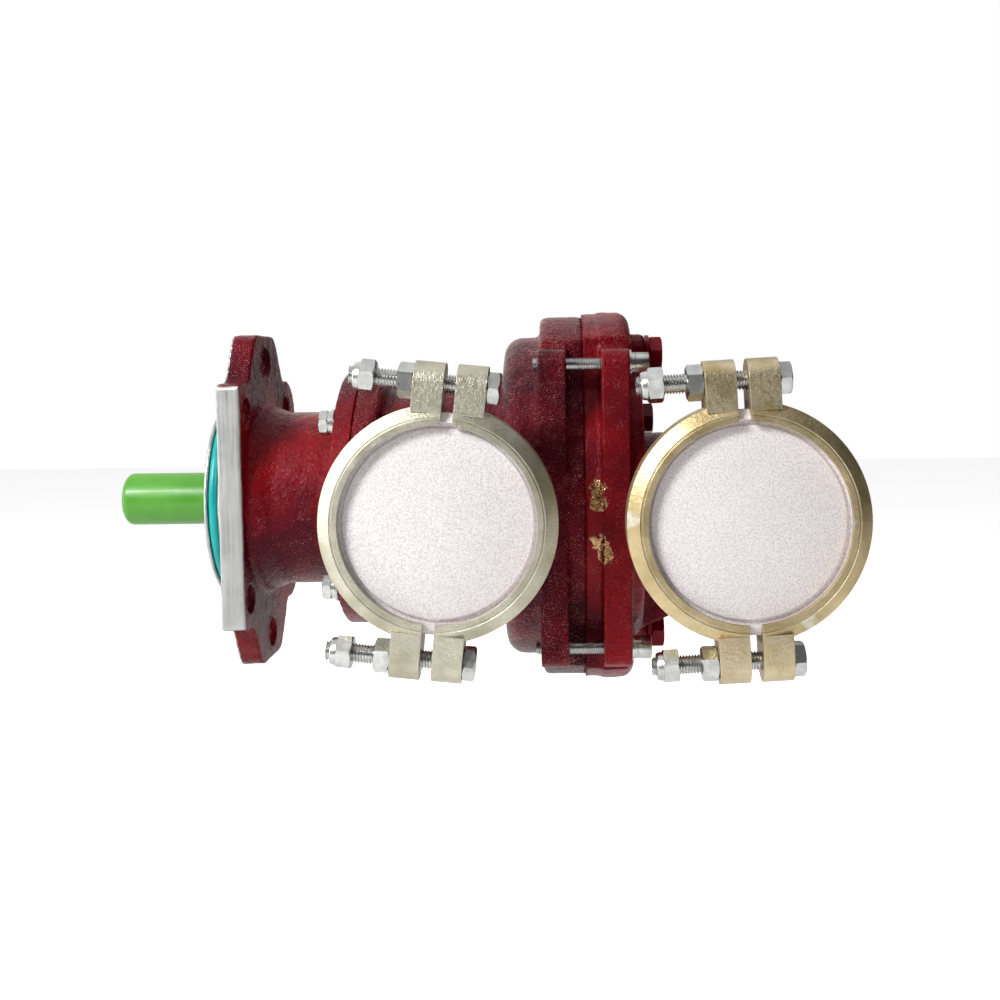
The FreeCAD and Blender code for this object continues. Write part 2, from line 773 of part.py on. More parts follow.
def make_drive_shaft():
    step = shaft_chamfer
    profile = [
        (shaft_drive_end, 0), (shaft_drive_end, shaft_drive_r - step),
        (shaft_drive_end + step, shaft_drive_r), (shaft_step, shaft_drive_r),
        (shaft_step, shaft_bearing_r), (rear_bearing_end, shaft_bearing_r),
        (rear_bearing_end, shaft_seal_r), (slinger_end, shaft_seal_r), (slinger_end, shaft_wet_r),
        (impeller_hub_x, shaft_wet_r), (impeller_hub_x, shaft_impeller_r),
        (impeller_hub_end, shaft_impeller_r), (impeller_hub_end, shaft_thread_r),
        (shaft_wet_end - step, shaft_thread_r), (shaft_wet_end, shaft_thread_r - step),
        (shaft_wet_end, 0)]
    start = shaft_drive_end + keyway_start
    keyway = block(start, start + keyway_length, -keyway_w / 2, keyway_w / 2,
                   shaft_drive_r - keyway_depth, shaft_drive_r + past)
    clip_x = front_bearing_x - shaft_circlip_t
    clip_groove = tube(clip_x, front_bearing_x, shaft_bearing_r + past,
                       shaft_bearing_r - shaft_circlip_depth)
    return turned(profile).cut([keyway, clip_groove, key_block(press_fit)])


def key_block(grow):
    """The impeller's key, or the slot for it when grown."""
    x = (impeller_hub_x + impeller_hub_end - impeller_key_length) / 2
    half = impeller_key_w / 2 + grow
    return block(x - grow, x + impeller_key_length + grow, -half, half,
                 shaft_impeller_r - half, shaft_impeller_r + half)


def make_seal_spring():
    """Coil spring between the seal's head and the impeller's hub."""
    start = seat_end + seal_face_gap + seal_head_w + seal_wire_r + spring_seat_gap
    end = impeller_hub_x - seal_wire_r - spring_seat_gap
    helix = Part.makeHelix((end - start) / seal_turns, end - start, seal_coil_r)
    ring = Part.Wire(Part.makeCircle(seal_wire_r, V(seal_coil_r, 0, 0), Y_AXIS))
    coil = Part.Wire(helix.Edges).makePipeShell([ring], True, True)
    coil.rotate(ORIGIN, Y_AXIS, 90)
    coil.translate(V(start, 0, 0))
    return coil


def make_seal_head():
    x = seat_end + seal_face_gap
    nose_r = seal_head_r - seal_nose_step
    return turned([(x, shaft_wet_r + press_fit), (x, nose_r), (x + seal_nose_w, nose_r),
                   (x + seal_nose_w, seal_head_r), (x + seal_head_w, seal_head_r),
                   (x + seal_head_w, shaft_wet_r + press_fit)])


def make_seal_seat():
    cord_x = seat_x + seat_w / 2
    bore = shaft_wet_r + seat_bore_gap
    return tube(seat_x, seat_end, seat_r, bore).cut(ring_groove(cord_x, seat_r, seat_cord_r))


# Impeller

eye_outer_r = impeller_eye_r + impeller_eye_wall
impeller_face_x = impeller_back_x + impeller_back_t
impeller_tip_x = impeller_face_x + impeller_tip_width
eye_start_x = impeller_tip_x + impeller_eye_rise


def shroud_line():
    """Corners of the line under the front shroud, from the tip in to the eye."""
    bends = [(impeller_tip_x + rise, r) for rise, r in impeller_shroud_bends]
    return [(impeller_tip_x, impeller_r)] + bends + [(eye_start_x, impeller_eye_r)]


def make_impeller():
    back = turned([(impeller_back_x, 0), (impeller_back_x, impeller_r), (impeller_face_x, impeller_r),
                   (impeller_face_x, impeller_back_slope_r),
                   (impeller_hub_end - impeller_hub_taper, impeller_hub_r),
                   (impeller_hub_end, impeller_hub_r - impeller_hub_chamfer), (impeller_hub_end, 0)])
    hub = disc(impeller_hub_x, impeller_back_x, impeller_hub_r)
    under = shroud_line()
    over = [(x + impeller_shroud_t, r) for x, r in under[:-1]]
    front = turned(under + [(impeller_eye_end, impeller_eye_r), (impeller_eye_end, eye_outer_r),
                            (eye_start_x + impeller_shroud_t, eye_outer_r)] + over[::-1])
    tip_r = impeller_r - blade_tip_inset
    space = turned([(impeller_face_x - lap, 0), (impeller_face_x - lap, tip_r),
                    (impeller_tip_x + lap, tip_r)] + [(x + lap, r) for x, r in under[1:]] +
                   [(eye_start_x + lap, 0)])
    arc = tube(impeller_face_x - past, impeller_eye_end, blade_arc_r + blade_t / 2,
               blade_arc_r - blade_t / 2, blade_arc_offset, 0)
    reach = blade_arc_r + blade_arc_offset + blade_t
    half = block(impeller_face_x - 2 * past, impeller_eye_end + past, -reach, reach, 0, reach)
    root = disc(impeller_face_x - 2 * past, impeller_eye_end + past, impeller_hub_r - blade_root_lap)
    blade = arc.common(half).common(space).cut(root)
    blades = [around(blade, 360.0 * i / blade_count) for i in range(blade_count)]
    bore = disc(impeller_hub_x - past, impeller_hub_end + past, shaft_impeller_r + press_fit)
    return back.fuse([hub, front] + blades).cut([bore, key_block(press_fit)])


def make_impeller_nut():
    nut = hexagon(impeller_nut_flats, impeller_nut_x, impeller_nut_x + impeller_nut_w)
    return nut.cut(disc(impeller_nut_x - past, impeller_nut_x + impeller_nut_w + past,
                        shaft_thread_r + press_fit))


def make_impeller_washer():
    return tube(impeller_hub_end, impeller_nut_x, impeller_washer_r, shaft_thread_r + press_fit)


def make_wear_ring():
    return tube(boss_face_x, boss_face_x + wear_ring_w, eye_outer_r + wear_ring_t,
                eye_outer_r + 3 * running_fit)


# Covers and clamps, made with the port at the origin

def make_port_gasket():
    half = gasket_t / 2 - press_fit
    inner = port_bore_r + gasket_margin
    outer = v_flange_r - gasket_margin
    return port_turned([(inner, -half), (outer, -half), (outer, half), (inner, half)])


def make_port_cover():
    """Blanking disc: a V-flange edge, a moat and a raised middle."""
    rim_in = cover_moat_r + cover_rim_w
    rim_face = flank(rim_in, v_flange_r, v_flange_t)
    return port_turned([
        (0, gasket_t / 2), (v_flange_r, gasket_t / 2), (v_flange_r, v_flange_t), (rim_in, rim_face),
        (cover_moat_r, rim_face), (cover_moat_r, cover_moat_face), (cover_disc_r, cover_moat_face),
        (cover_disc_r, cover_disc_face - cover_chamfer),
        (cover_disc_r - cover_chamfer, cover_disc_face), (0, cover_disc_face)])


def clamp_section():
    """Half of the ring's cross-section, from the groove's middle to the lip, as (radius, forward)."""
    groove_r = v_flange_r + slide_fit
    lip_in = clamp_lip_r - clamp_lip_w
    corner = v_flange_t + slide_fit
    return [(groove_r, 0), (groove_r, corner), (lip_in, flank(lip_in, groove_r, corner)),
            (lip_in, clamp_half_w), (clamp_lip_r, clamp_half_w), (clamp_r, clamp_crown_w),
            (clamp_r, 0)]


def make_clamp_ring():
    half = clamp_section()
    back = [(r, -forward) for r, forward in reversed(half[1:-1])]
    return port_turned(half[1:-1] + back)


def lug_tongue(x0, x1):
    """Lug with a round top about the bolt's hole, its foot inside the ring."""
    round_r = lug_crown - lug_crown_flat / 2
    foot_z = clamp_lip_r + lug_foot_inset
    return plate([(-lug_crown, foot_z, lug_foot_r), (-lug_crown, lug_top_r, round_r),
                  (lug_crown, lug_top_r, round_r), (lug_crown, foot_z, lug_foot_r)], x0, x1)


def make_clamp_half(side):
    """Half ring with a lug at each end. side is -1 for the nut side and 1 for the head side."""
    reach = lug_top_r + past
    depth = clamp_half_w + past
    gap = clamp_gap / 2
    groove_r = v_flange_r + slide_fit
    keep = block(gap, reach, -depth, depth, -reach, reach)
    lug = lug_tongue(gap, gap + lug_w)
    other = lug.copy()
    other.rotate(ORIGIN, X_AXIS, 180)
    inside = port_turned([(0, -depth), (groove_r, -depth), (groove_r, depth), (0, depth)])
    shape = make_clamp_ring().common(keep).fuse(lug.fuse(other).cut(inside))
    for z in (lug_bolt_r, -lug_bolt_r):
        shape = shape.cut(disc(0, gap + lug_w + past, m10_r + clearance_hole, 0, z))
    shape = shape.removeSplitter()
    if side < 0:
        shape.rotate(ORIGIN, Y_AXIS, 180)
    return shape


def bolt_pair(shape):
    other = shape.copy()
    other.translate(V(0, 0, -2 * lug_bolt_r))
    return Part.makeCompound([shape, other])


lug_face = clamp_gap / 2 + lug_w
lock_nut_x = -lug_face - m10_nut - m10_free_thread


def make_clamp_bolts():
    head = hexagon(m10_flats, lug_face, lug_face + m10_head, 0, lug_bolt_r)
    shank = disc(lock_nut_x - m10_lock_nut - m10_tip, lug_face + lap, m10_r, 0, lug_bolt_r)
    return bolt_pair(head.fuse(shank))


def make_clamp_nuts():
    nut = hexagon(m10_flats, -lug_face - m10_nut, -lug_face, 0, lug_bolt_r)
    bore = disc(-lug_face - m10_nut - past, -lug_face + past, m10_r + running_fit, 0, lug_bolt_r)
    return bolt_pair(nut.cut(bore))


def make_lock_nuts():
    end = lock_nut_x - m10_lock_nut
    collar_end = end + m10_lock_collar
    nut = hexagon(m10_flats, collar_end - lap, lock_nut_x, 0, lug_bolt_r)
    collar = disc(end, collar_end, m10_collar_r, 0, lug_bolt_r)
    bore = disc(end - past, lock_nut_x + past, m10_r + press_fit, 0, lug_bolt_r)
    return bolt_pair(nut.fuse(collar).cut(bore))


# Protective cap on the drive end

def make_shaft_protector():
    inner_r = protector_r - protector_wall
    end = shaft_drive_end - protector_end_gap
    outer = disc(end - protector_wall, end - protector_wall + protector_length, protector_r)
    outer = fillet_rings(outer, protector_round, [(end - protector_wall, protector_r)])
    return outer.cut(disc(end, end + protector_length, inner_r))


# The whole pump, one entry for each node

def make_nodes():
    casing_washer = tube(0, m12_washer_t, m12_washer_r, m12_r + clearance_hole)
    nodes = {
        "bearing_housing": make_bearing_housing(),
        "spigot_o_ring": make_cord_ring(spigot_groove_x + spigot_groove_w / 2, spigot_cord_pitch_r,
                                        spigot_cord_r),
        "discharge_casing": make_discharge_casing(),
        "suction_casing": make_suction_casing(),
        "casing_o_ring": make_cord_ring(joint_x - casing_cord_r - o_ring_fit, casing_cord_pitch_r,
                                        casing_cord_r),
        "housing_o_ring": make_cord_ring(register_middle, register_r - register_cord_r - o_ring_fit,
                                         register_cord_r),
        "housing_screws": make_housing_screws(),
        "housing_screw_washers": spread(make_washer_pair(), joint_screw_places(), housing_flange_x),
        "casing_screws": make_casing_screws(),
        "casing_screw_washers": spread(casing_washer, casing_screw_places(), end_boss_x),
        "casing_cap_screws": make_cap_screws(),
        "cap_screw_washers": make_cap_washers(),
        "bearing_circlip": make_bearing_circlip(),
        "shaft_circlip": make_shaft_circlip(),
        "bearing_spacer": tube(front_bearing_end, rear_bearing_x, spacer_r, shaft_bearing_r + press_fit),
        "oil_seal": make_oil_seal(),
        "water_slinger": tube(slinger_x, slinger_end, slinger_r, shaft_seal_r + press_fit),
        "seal_seat": make_seal_seat(),
        "seal_seat_o_ring": make_cord_ring(seat_x + seat_w / 2, seat_r - seat_cord_r - o_ring_fit,
                                           seat_cord_r),
        "seal_head": make_seal_head(),
        "seal_spring": make_seal_spring(),
        "drive_shaft": make_drive_shaft(),
        "impeller_key": key_block(0.0),
        "impeller": make_impeller(),
        "impeller_washer": make_impeller_washer(),
        "impeller_nut": make_impeller_nut(),
        "wear_ring": make_wear_ring(),
        "shaft_protector": make_shaft_protector(),
    }
    bearings = {
        "front": (front_bearing_x, front_bearing_w, shaft_bearing_r, front_bearing_r,
                  front_pitch_r, front_ball_r, front_ball_count),
        "rear": (rear_bearing_x, rear_bearing_w, shaft_bearing_r, rear_bearing_r,
                 rear_pitch_r, rear_ball_r, rear_ball_count),
    }
    for name, sizes in bearings.items():
        outer_ring, inner_ring, balls, cage = make_bearing(*sizes)
        nodes[name + "_bearing_outer_ring"] = outer_ring
        nodes[name + "_bearing_inner_ring"] = inner_ring
        nodes[name + "_bearing_balls"] = balls
        nodes[name + "_bearing_cage"] = cage
    port_pieces = {
        "gasket": make_port_gasket(), "cover": make_port_cover(),
        "clamp_nut_side": make_clamp_half(-1), "clamp_head_side": make_clamp_half(1),
        "clamp_bolts": make_clamp_bolts(), "clamp_nuts": make_clamp_nuts(),
        "lock_nuts": make_lock_nuts(),
    }
    ports = {"discharge": (discharge_port_x, discharge_port_y, discharge_clamp_turn),
             "suction": (suction_port_x, suction_port_y, suction_clamp_turn)}
    for port, (x, y, turn) in ports.items():
        for piece, shape in port_pieces.items():
            nodes[port + "_" + piece] = at_port(shape, x, y, turn)
    return nodes


os.makedirs("parts", exist_ok=True)
for name, shape in make_nodes().items():
    shape.exportStep(os.path.join("parts", name + ".step"))
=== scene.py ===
import math

import bmesh
import bpy
from mathutils import Matrix, Vector


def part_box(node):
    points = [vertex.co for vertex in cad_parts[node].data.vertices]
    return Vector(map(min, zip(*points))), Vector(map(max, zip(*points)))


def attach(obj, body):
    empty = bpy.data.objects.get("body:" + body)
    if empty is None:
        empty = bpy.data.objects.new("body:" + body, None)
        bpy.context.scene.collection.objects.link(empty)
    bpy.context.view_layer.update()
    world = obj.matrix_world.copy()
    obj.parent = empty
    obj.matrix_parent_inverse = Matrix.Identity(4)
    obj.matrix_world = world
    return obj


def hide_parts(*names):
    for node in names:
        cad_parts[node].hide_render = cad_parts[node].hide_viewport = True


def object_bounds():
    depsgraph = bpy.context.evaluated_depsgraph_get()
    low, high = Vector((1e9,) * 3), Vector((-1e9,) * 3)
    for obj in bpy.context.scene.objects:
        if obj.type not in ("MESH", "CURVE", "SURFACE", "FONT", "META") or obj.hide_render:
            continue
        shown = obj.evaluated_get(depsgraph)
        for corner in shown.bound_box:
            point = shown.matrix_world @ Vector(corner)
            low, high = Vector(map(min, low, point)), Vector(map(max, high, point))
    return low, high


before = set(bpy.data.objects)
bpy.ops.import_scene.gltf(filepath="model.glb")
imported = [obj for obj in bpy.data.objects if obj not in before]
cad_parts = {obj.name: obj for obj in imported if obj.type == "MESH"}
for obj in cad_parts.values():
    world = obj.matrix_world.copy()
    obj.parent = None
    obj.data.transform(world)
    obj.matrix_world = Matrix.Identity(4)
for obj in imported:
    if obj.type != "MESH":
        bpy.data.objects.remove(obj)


# The bare construction.
# Sizes are written in millimetres and turned into metres by mm. The box of the bare pump is
# kept, and the floor and the lamps are placed from it.
mm = 0.001
scene = bpy.context.scene
bare_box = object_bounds()


# The bearing housing.
# A bronze sand casting with the mounting flange at its drive end, sprayed with crimson enamel.
# The flange's face, its spigot, its cut side and the bore are machined bare after painting.
def new_material(name):
    """A material with its nodes and its links."""
    material = bpy.data.materials.new(name)
    material.use_nodes = True
    return material, material.node_tree.nodes, material.node_tree.links


def new_group(name, inputs, outputs):
    """An empty node group with float inputs, given as label and value, and its outputs."""
    group = bpy.data.node_groups.new(name, "ShaderNodeTree")
    for label, value in inputs.items():
        socket = group.interface.new_socket(label, in_out="INPUT", socket_type="NodeSocketFloat")
        socket.default_value = value
    for label, kind in outputs.items():
        group.interface.new_socket(label, in_out="OUTPUT", socket_type=kind)
    return group, group.nodes.new("NodeGroupInput"), group.nodes.new("NodeGroupOutput")


def use_group(nodes, group, values):
    """Places a node group in a material, with its own values."""
    node = nodes.new("ShaderNodeGroup")
    node.node_tree = group
    for label, value in values.items():
        node.inputs[label].default_value = value
    return node


def spread(nodes, links, value, low, high, start=0.0, end=1.0):
    """Spreads a value from low..high to start..end, held at both ends."""
    node = nodes.new("ShaderNodeMapRange")
    node.inputs["From Min"].default_value = low
    node.inputs["From Max"].default_value = high
    node.inputs["To Min"].default_value = start
    node.inputs["To Max"].default_value = end
    links.new(value, node.inputs["Value"])
    return node.outputs[0]


def combine(nodes, links, operation, first, second):
    """Maths on two values, each a plain number or a socket."""
    node = nodes.new("ShaderNodeMath")
    node.operation = operation
    for socket, value in zip(node.inputs, (first, second)):
        if isinstance(value, float):
            socket.default_value = value
        else:
            links.new(value, socket)
    return node.outputs[0]


def tint(nodes, links, factor, first, second):
    """Mixes two colours, each a plain colour or a socket."""
    node = nodes.new("ShaderNodeMix")
    node.data_type = "RGBA"
    links.new(factor, node.inputs["Factor"])
    for socket, colour in ((node.inputs[6], first), (node.inputs[7], second)):
        if isinstance(colour, tuple):
            socket.default_value = (*colour, 1.0)
        else:
            links.new(colour, socket)
    return node.outputs[2]


def mottle(nodes, links, scale, detail=3.0, stretch=(1.0, 1.0, 1.0)):
    """Noise on the object's own coordinates."""
    place = nodes.new("ShaderNodeTexCoord")
    mapping = nodes.new("ShaderNodeMapping")
    mapping.inputs["Scale"].default_value = stretch
    noise = nodes.new("ShaderNodeTexNoise")
    noise.inputs["Scale"].default_value = scale
    noise.inputs["Detail"].default_value = detail
    links.new(place.outputs["Object"], mapping.inputs["Vector"])
    links.new(mapping.outputs[0], noise.inputs["Vector"])
    return noise.outputs["Fac"]


def make_grain_group():
    """Grain of a surface: lumps and fine pits as a normal, with their height as a value."""
    group, start, end = new_group(
        "surface_grain", {"Lump Scale": 300.0, "Pit Scale": 1200.0, "Pit Share": 0.4,
                          "Depth": 0.0003, "Strength": 1.0},
        {"Normal": "NodeSocketVector", "Height": "NodeSocketFloat"})
    nodes, links = group.nodes, group.links
    place = nodes.new("ShaderNodeTexCoord")
    lumps = nodes.new("ShaderNodeTexNoise")
    pits = nodes.new("ShaderNodeTexNoise")
    for noise, label, detail in ((lumps, "Lump Scale", 3.0), (pits, "Pit Scale", 2.0)):
        noise.inputs["Detail"].default_value = detail
        links.new(place.outputs["Object"], noise.inputs["Vector"])
        links.new(start.outputs[label], noise.inputs["Scale"])
    both = nodes.new("ShaderNodeMix")
    links.new(start.outputs["Pit Share"], both.inputs[0])
    links.new(lumps.outputs["Fac"], both.inputs[2])
    links.new(pits.outputs["Fac"], both.inputs[3])
    bump = nodes.new("ShaderNodeBump")
    links.new(start.outputs["Strength"], bump.inputs["Strength"])
    links.new(start.outputs["Depth"], bump.inputs["Distance"])
    links.new(both.outputs[0], bump.inputs["Height"])
    links.new(bump.outputs["Normal"], end.inputs["Normal"])
    links.new(both.outputs[0], end.inputs["Height"])
    return group


def make_edge_wear_and_sheen_group():
    """Mask of raised edges, broken up by patches: where a finish has rubbed off, and on the enamel
    also a painted highlight along its edges.
    """
    group, start, end = new_group(
        "edge_wear_and_sheen", {"Start": 0.54, "Full": 0.60, "Patch Scale": 150.0, "Patch Start": 0.48,
                      "Patch Full": 0.60}, {"Edge Mask": "NodeSocketFloat"})
    nodes, links = group.nodes, group.links
    place = nodes.new("ShaderNodeTexCoord")
    edges = nodes.new("ShaderNodeNewGeometry")
    patches = nodes.new("ShaderNodeTexNoise")
    patches.inputs["Detail"].default_value = 5.0
    links.new(place.outputs["Object"], patches.inputs["Vector"])
    links.new(start.outputs["Patch Scale"], patches.inputs["Scale"])
    masks = []
    for value, low, high in ((edges.outputs["Pointiness"], "Start", "Full"),
                             (patches.outputs["Fac"], "Patch Start", "Patch Full")):
        mask = nodes.new("ShaderNodeMapRange")
        links.new(value, mask.inputs["Value"])
        links.new(start.outputs[low], mask.inputs["From Min"])
        links.new(start.outputs[high], mask.inputs["From Max"])
        masks.append(mask.outputs[0])
    links.new(combine(nodes, links, "MULTIPLY", masks[0], masks[1]), end.inputs["Edge Mask"])
    return group


surface_grain = make_grain_group()
edge_wear_and_sheen = make_edge_wear_and_sheen_group()
noise_band = (0.36, 0.64)
wide_noise_band = (0.35, 0.65)

enamel_deep = (0.055, 0.001, 0.005)
enamel_full = (0.215, 0.004, 0.006)
# Raised edges of the enamel take this paler colour: partly dust and rubbed paint, partly a painted
# edge highlight.
enamel_dust_and_edge_sheen = (0.36, 0.05, 0.06)
# Pale points of this colour are painted glints: highlights of the lamps painted into the base
# colour.
enamel_painted_glint = (0.50, 0.17, 0.15)
enamel_shine = (0.90, 0.42, 0.52)
enamel_specular = 0.26
enamel_roughness = (0.3, 0.15)
enamel_grain = {"Lump Scale": 430.0, "Pit Scale": 1100.0, "Pit Share": 0.35, "Strength": 1.0}
enamel_rub_and_sheen = {"Start": 0.57, "Full": 0.68, "Patch Scale": 170.0}
# Band over which the grain's hollows darken towards the deep colour: painted shade.
hollow_shade_band = (0.30, 0.48)
cloud_scale = 18.0
cloud_band = (0.38, 0.66)
glint_scale = 1900.0
glint_cluster_scale = 110.0
glint_cluster_share = 0.35
glint_edge = 0.05
bare_bronze = (0.58, 0.36, 0.18)
bronze_hollow = (0.28, 0.11, 0.05)
bronze_ridge_scale = 380.0
bronze_ridge_band = (0.38, 0.56)
chip_edge_scale = 260.0
chip_full = 1.48
chip_start = 1.6


def make_enamel(name, deep, full, depth, glints, worn=()):
    """Crimson enamel on a sand casting, with painted shade in its grain's hollows and painted
    glints.
    glints is the level above which the fine noise gives pale points of painted highlight, and worn
    holds x, y, z and reach of each bare patch."""
    material, nodes, links = new_material(name)
    shader = nodes["Principled BSDF"]
    shade = spread(nodes, links, mottle(nodes, links, cloud_scale), *cloud_band)
    colour = tint(nodes, links, shade, deep, full)
    grain = use_group(nodes, surface_grain, {**enamel_grain, "Depth": depth})
    # Hollows of the grain darken towards the deep colour: painted shade.
    hollow_shade = spread(nodes, links, grain.outputs["Height"], *hollow_shade_band)
    colour = tint(nodes, links, hollow_shade, deep, colour)
    # Raised edges turn paler: partly rubbed and dusty paint, partly a painted highlight along the
    # edges.
    raised_edges = use_group(nodes, edge_wear_and_sheen, enamel_rub_and_sheen)
    colour = tint(nodes, links, raised_edges.outputs["Edge Mask"], colour, enamel_dust_and_edge_sheen)
    # Clustered pale points are painted glints, highlights painted into the base colour.
    clusters = combine(nodes, links, "MULTIPLY", mottle(nodes, links, glint_cluster_scale),
                       glint_cluster_share)
    points = combine(nodes, links, "ADD", mottle(nodes, links, glint_scale, 1.0), clusters)
    points = spread(nodes, links, points, glints, glints + glint_edge)
    colour = tint(nodes, links, points, colour, enamel_painted_glint)
    bare = None
    for x, y, z, reach in worn:
        place = nodes.new("ShaderNodeTexCoord")
        away = nodes.new("ShaderNodeVectorMath")
        away.operation = "DISTANCE"
        away.inputs[1].default_value = Vector((x, y, z)) * mm
        links.new(place.outputs["Object"], away.inputs[0])
        ragged = combine(nodes, links, "MULTIPLY", mottle(nodes, links, chip_edge_scale),
                         reach * mm * chip_start)
        edge = combine(nodes, links, "ADD", away.outputs["Value"], ragged)
        patch = spread(nodes, links, edge, reach * mm * chip_start, reach * mm * chip_full)
        bare = patch if bare is None else combine(nodes, links, "MAXIMUM", bare, patch)
    if bare is not None:
        ridges = spread(nodes, links, mottle(nodes, links, bronze_ridge_scale),
                        *bronze_ridge_band)
        metal = tint(nodes, links, ridges, bronze_hollow, bare_bronze)
        colour = tint(nodes, links, bare, colour, metal)
        links.new(bare, shader.inputs["Metallic"])
    links.new(colour, shader.inputs["Base Color"])
    links.new(spread(nodes, links, grain.outputs["Height"], *wide_noise_band, *enamel_roughness),
              shader.inputs["Roughness"])
    links.new(grain.outputs["Normal"], shader.inputs["Normal"])
    shader.inputs["Specular IOR Level"].default_value = enamel_specular
    shader.inputs["Specular Tint"].default_value = (*enamel_shine, 1.0)
    return material


mark_scale = 700.0
mark_band = (0.3, 0.7)
mark_depth = 0.12 * mm
mark_strength = 0.35
stain_scale = 60.0
milled_metallic = 0.85
milled_roughness = (0.34, 0.5)


def make_milled(name, light, dark, stretch):
    """Bare metal with the milling cutter's marks along one direction."""
    material, nodes, links = new_material(name)
    shader = nodes["Principled BSDF"]
    marks = spread(nodes, links, mottle(nodes, links, mark_scale, 4.0, stretch), *mark_band)
    stain = spread(nodes, links, mottle(nodes, links, stain_scale), *wide_noise_band)
    colour = tint(nodes, links, marks, dark, light)
    links.new(tint(nodes, links, stain, colour, light), shader.inputs["Base Color"])
    shader.inputs["Metallic"].default_value = milled_metallic
    links.new(spread(nodes, links, marks, 0.0, 1.0, *milled_roughness),
              shader.inputs["Roughness"])
    bump = nodes.new("ShaderNodeBump")
    bump.inputs["Strength"].default_value = mark_strength
    bump.inputs["Distance"].default_value = mark_depth
    links.new(marks, bump.inputs["Height"])
    links.new(bump.outputs["Normal"], shader.inputs["Normal"])
    return material


net_merge = 0.001 * mm


def even_net(name, spacing):
    """A node's shape as an even net of faces, fine enough to take soft edges and grain."""
    shape = bmesh.new()
    shape.from_mesh(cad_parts[name].data)
    bmesh.ops.remove_doubles(shape, verts=shape.verts, dist=net_merge)
    bare = bpy.data.meshes.new(name + "_bare")
    shape.to_mesh(bare)
    shape.free()
    carrier = bpy.data.objects.new(name + "_bare", bare)
    scene.collection.objects.link(carrier)
    net = carrier.modifiers.new("net", "REMESH")
    net.mode = "VOXEL"
    net.voxel_size = spacing
    dense = bpy.data.meshes.new_from_object(
        carrier.evaluated_get(bpy.context.evaluated_depsgraph_get()))
    shape = bmesh.new()
    shape.from_mesh(dense)
    bpy.data.objects.remove(carrier)
    bpy.data.meshes.remove(bare)
    bpy.data.meshes.remove(dense)
    return shape


def new_piece(name, shape, materials, body, slot, *nodes):
    """Makes a bmesh a piece of the pump: it rides on its body and stands for the named nodes."""
    mesh = bpy.data.meshes.new(name)
    shape.to_mesh(mesh)
    shape.free()
    for material in materials:
        mesh.materials.append(material)
    piece = bpy.data.objects.new(name, mesh)
    scene.collection.objects.link(piece)
    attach(piece, body)
    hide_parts(*nodes)
    return piece


sand_lumps = bpy.data.textures.new("sand_lumps", "CLOUDS")
sand_lumps.noise_scale = 7.0 * mm
sand_lumps.noise_depth = 2
sand_depth = 0.7 * mm
casting_rounds = 2

ear_face_y = -88.5
ear_foot_y = -57.0
ear_half_z = 88.5
ear_corner_r = 9.0
ear_corner_steps = 8
ear_edge_r = 1.1
ear_edge_steps = 3
ear_foot_margin = 1.0
same_x = 0.01 * mm


def extrude_face(shape, face, reach):
    """Draws a face out along X and gives its far points."""
    made = bmesh.ops.extrude_face_region(shape, geom=[face])
    far = [v for v in made["geom"] if isinstance(v, bmesh.types.BMVert)]
    bmesh.ops.translate(shape, vec=(reach * mm, 0, 0), verts=far)
    return far


def add_bar(shape, x0, x1):
    """The front of an ear plate from x0 to x1, with its edges taken off."""
    corner_y, corner_z = ear_face_y + ear_corner_r, ear_half_z - ear_corner_r
    turns = [math.pi / 2 * i / ear_corner_steps for i in range(ear_corner_steps + 1)]
    upper = [(corner_y - ear_corner_r * math.sin(a), corner_z + ear_corner_r * math.cos(a))
             for a in turns]
    outline = [(ear_foot_y, ear_half_z)] + upper
    outline += [(y, -z) for y, z in reversed(outline)]
    front = [shape.verts.new(Vector((x0, y, z)) * mm) for y, z in outline]
    side = shape.faces.new(front)
    far = extrude_face(shape, side, x1 - x0)
    foot = (ear_foot_y - ear_foot_margin) * mm
    rims = dict.fromkeys(e for v in front + far for e in v.link_edges
                         if abs(e.verts[0].co.x - e.verts[1].co.x) < same_x
                         and min(e.verts[0].co.y, e.verts[1].co.y) < foot)
    faces = dict.fromkeys(f for v in front + far for f in v.link_faces)
    bmesh.ops.recalc_face_normals(shape, faces=list(faces))
    made = bmesh.ops.bevel(shape, geom=list(rims), offset=ear_edge_r * mm, offset_type="OFFSET",
                           segments=ear_edge_steps, profile=0.5, affect="EDGES")
    for face in made["faces"]:
        face.smooth = True


def make_casting(name, spacing, softness, is_bare, materials, bars=()):
    """A casting with soft edges and grain. softness gives each point's share of the rounding,
    and bars holds the ends along X of the flat plates that keep their crisp edges."""
    shape = even_net(name, spacing)
    for face in shape.faces:
        face.smooth = True
        face.material_index = 1 if is_bare(face.calc_center_median() / mm) else 0
    shape.verts.index_update()
    shares = {}
    for vert in shape.verts:
        shares.setdefault(softness(vert.co / mm), []).append(vert.index)
    for x0, x1 in bars:
        add_bar(shape, x0, x1)
    piece = new_piece(name + "_casting", shape, materials, "root", "red_paint", name)
    soft = piece.vertex_groups.new(name="soft")
    rough = piece.vertex_groups.new(name="rough")
    for share, indices in shares.items():
        soft.add(indices, share, "REPLACE")
        if share == 1.0:
            rough.add(indices, 1.0, "REPLACE")
    rounding = piece.modifiers.new("rounding", "SMOOTH")
    rounding.factor = 0.5
    rounding.iterations = casting_rounds
    rounding.vertex_group = "soft"
    lumps = piece.modifiers.new("sand_lumps", "DISPLACE")
    lumps.texture = sand_lumps
    lumps.texture_coords = "LOCAL"
    lumps.strength = sand_depth
    lumps.mid_level = 1.0
    lumps.vertex_group = "rough"


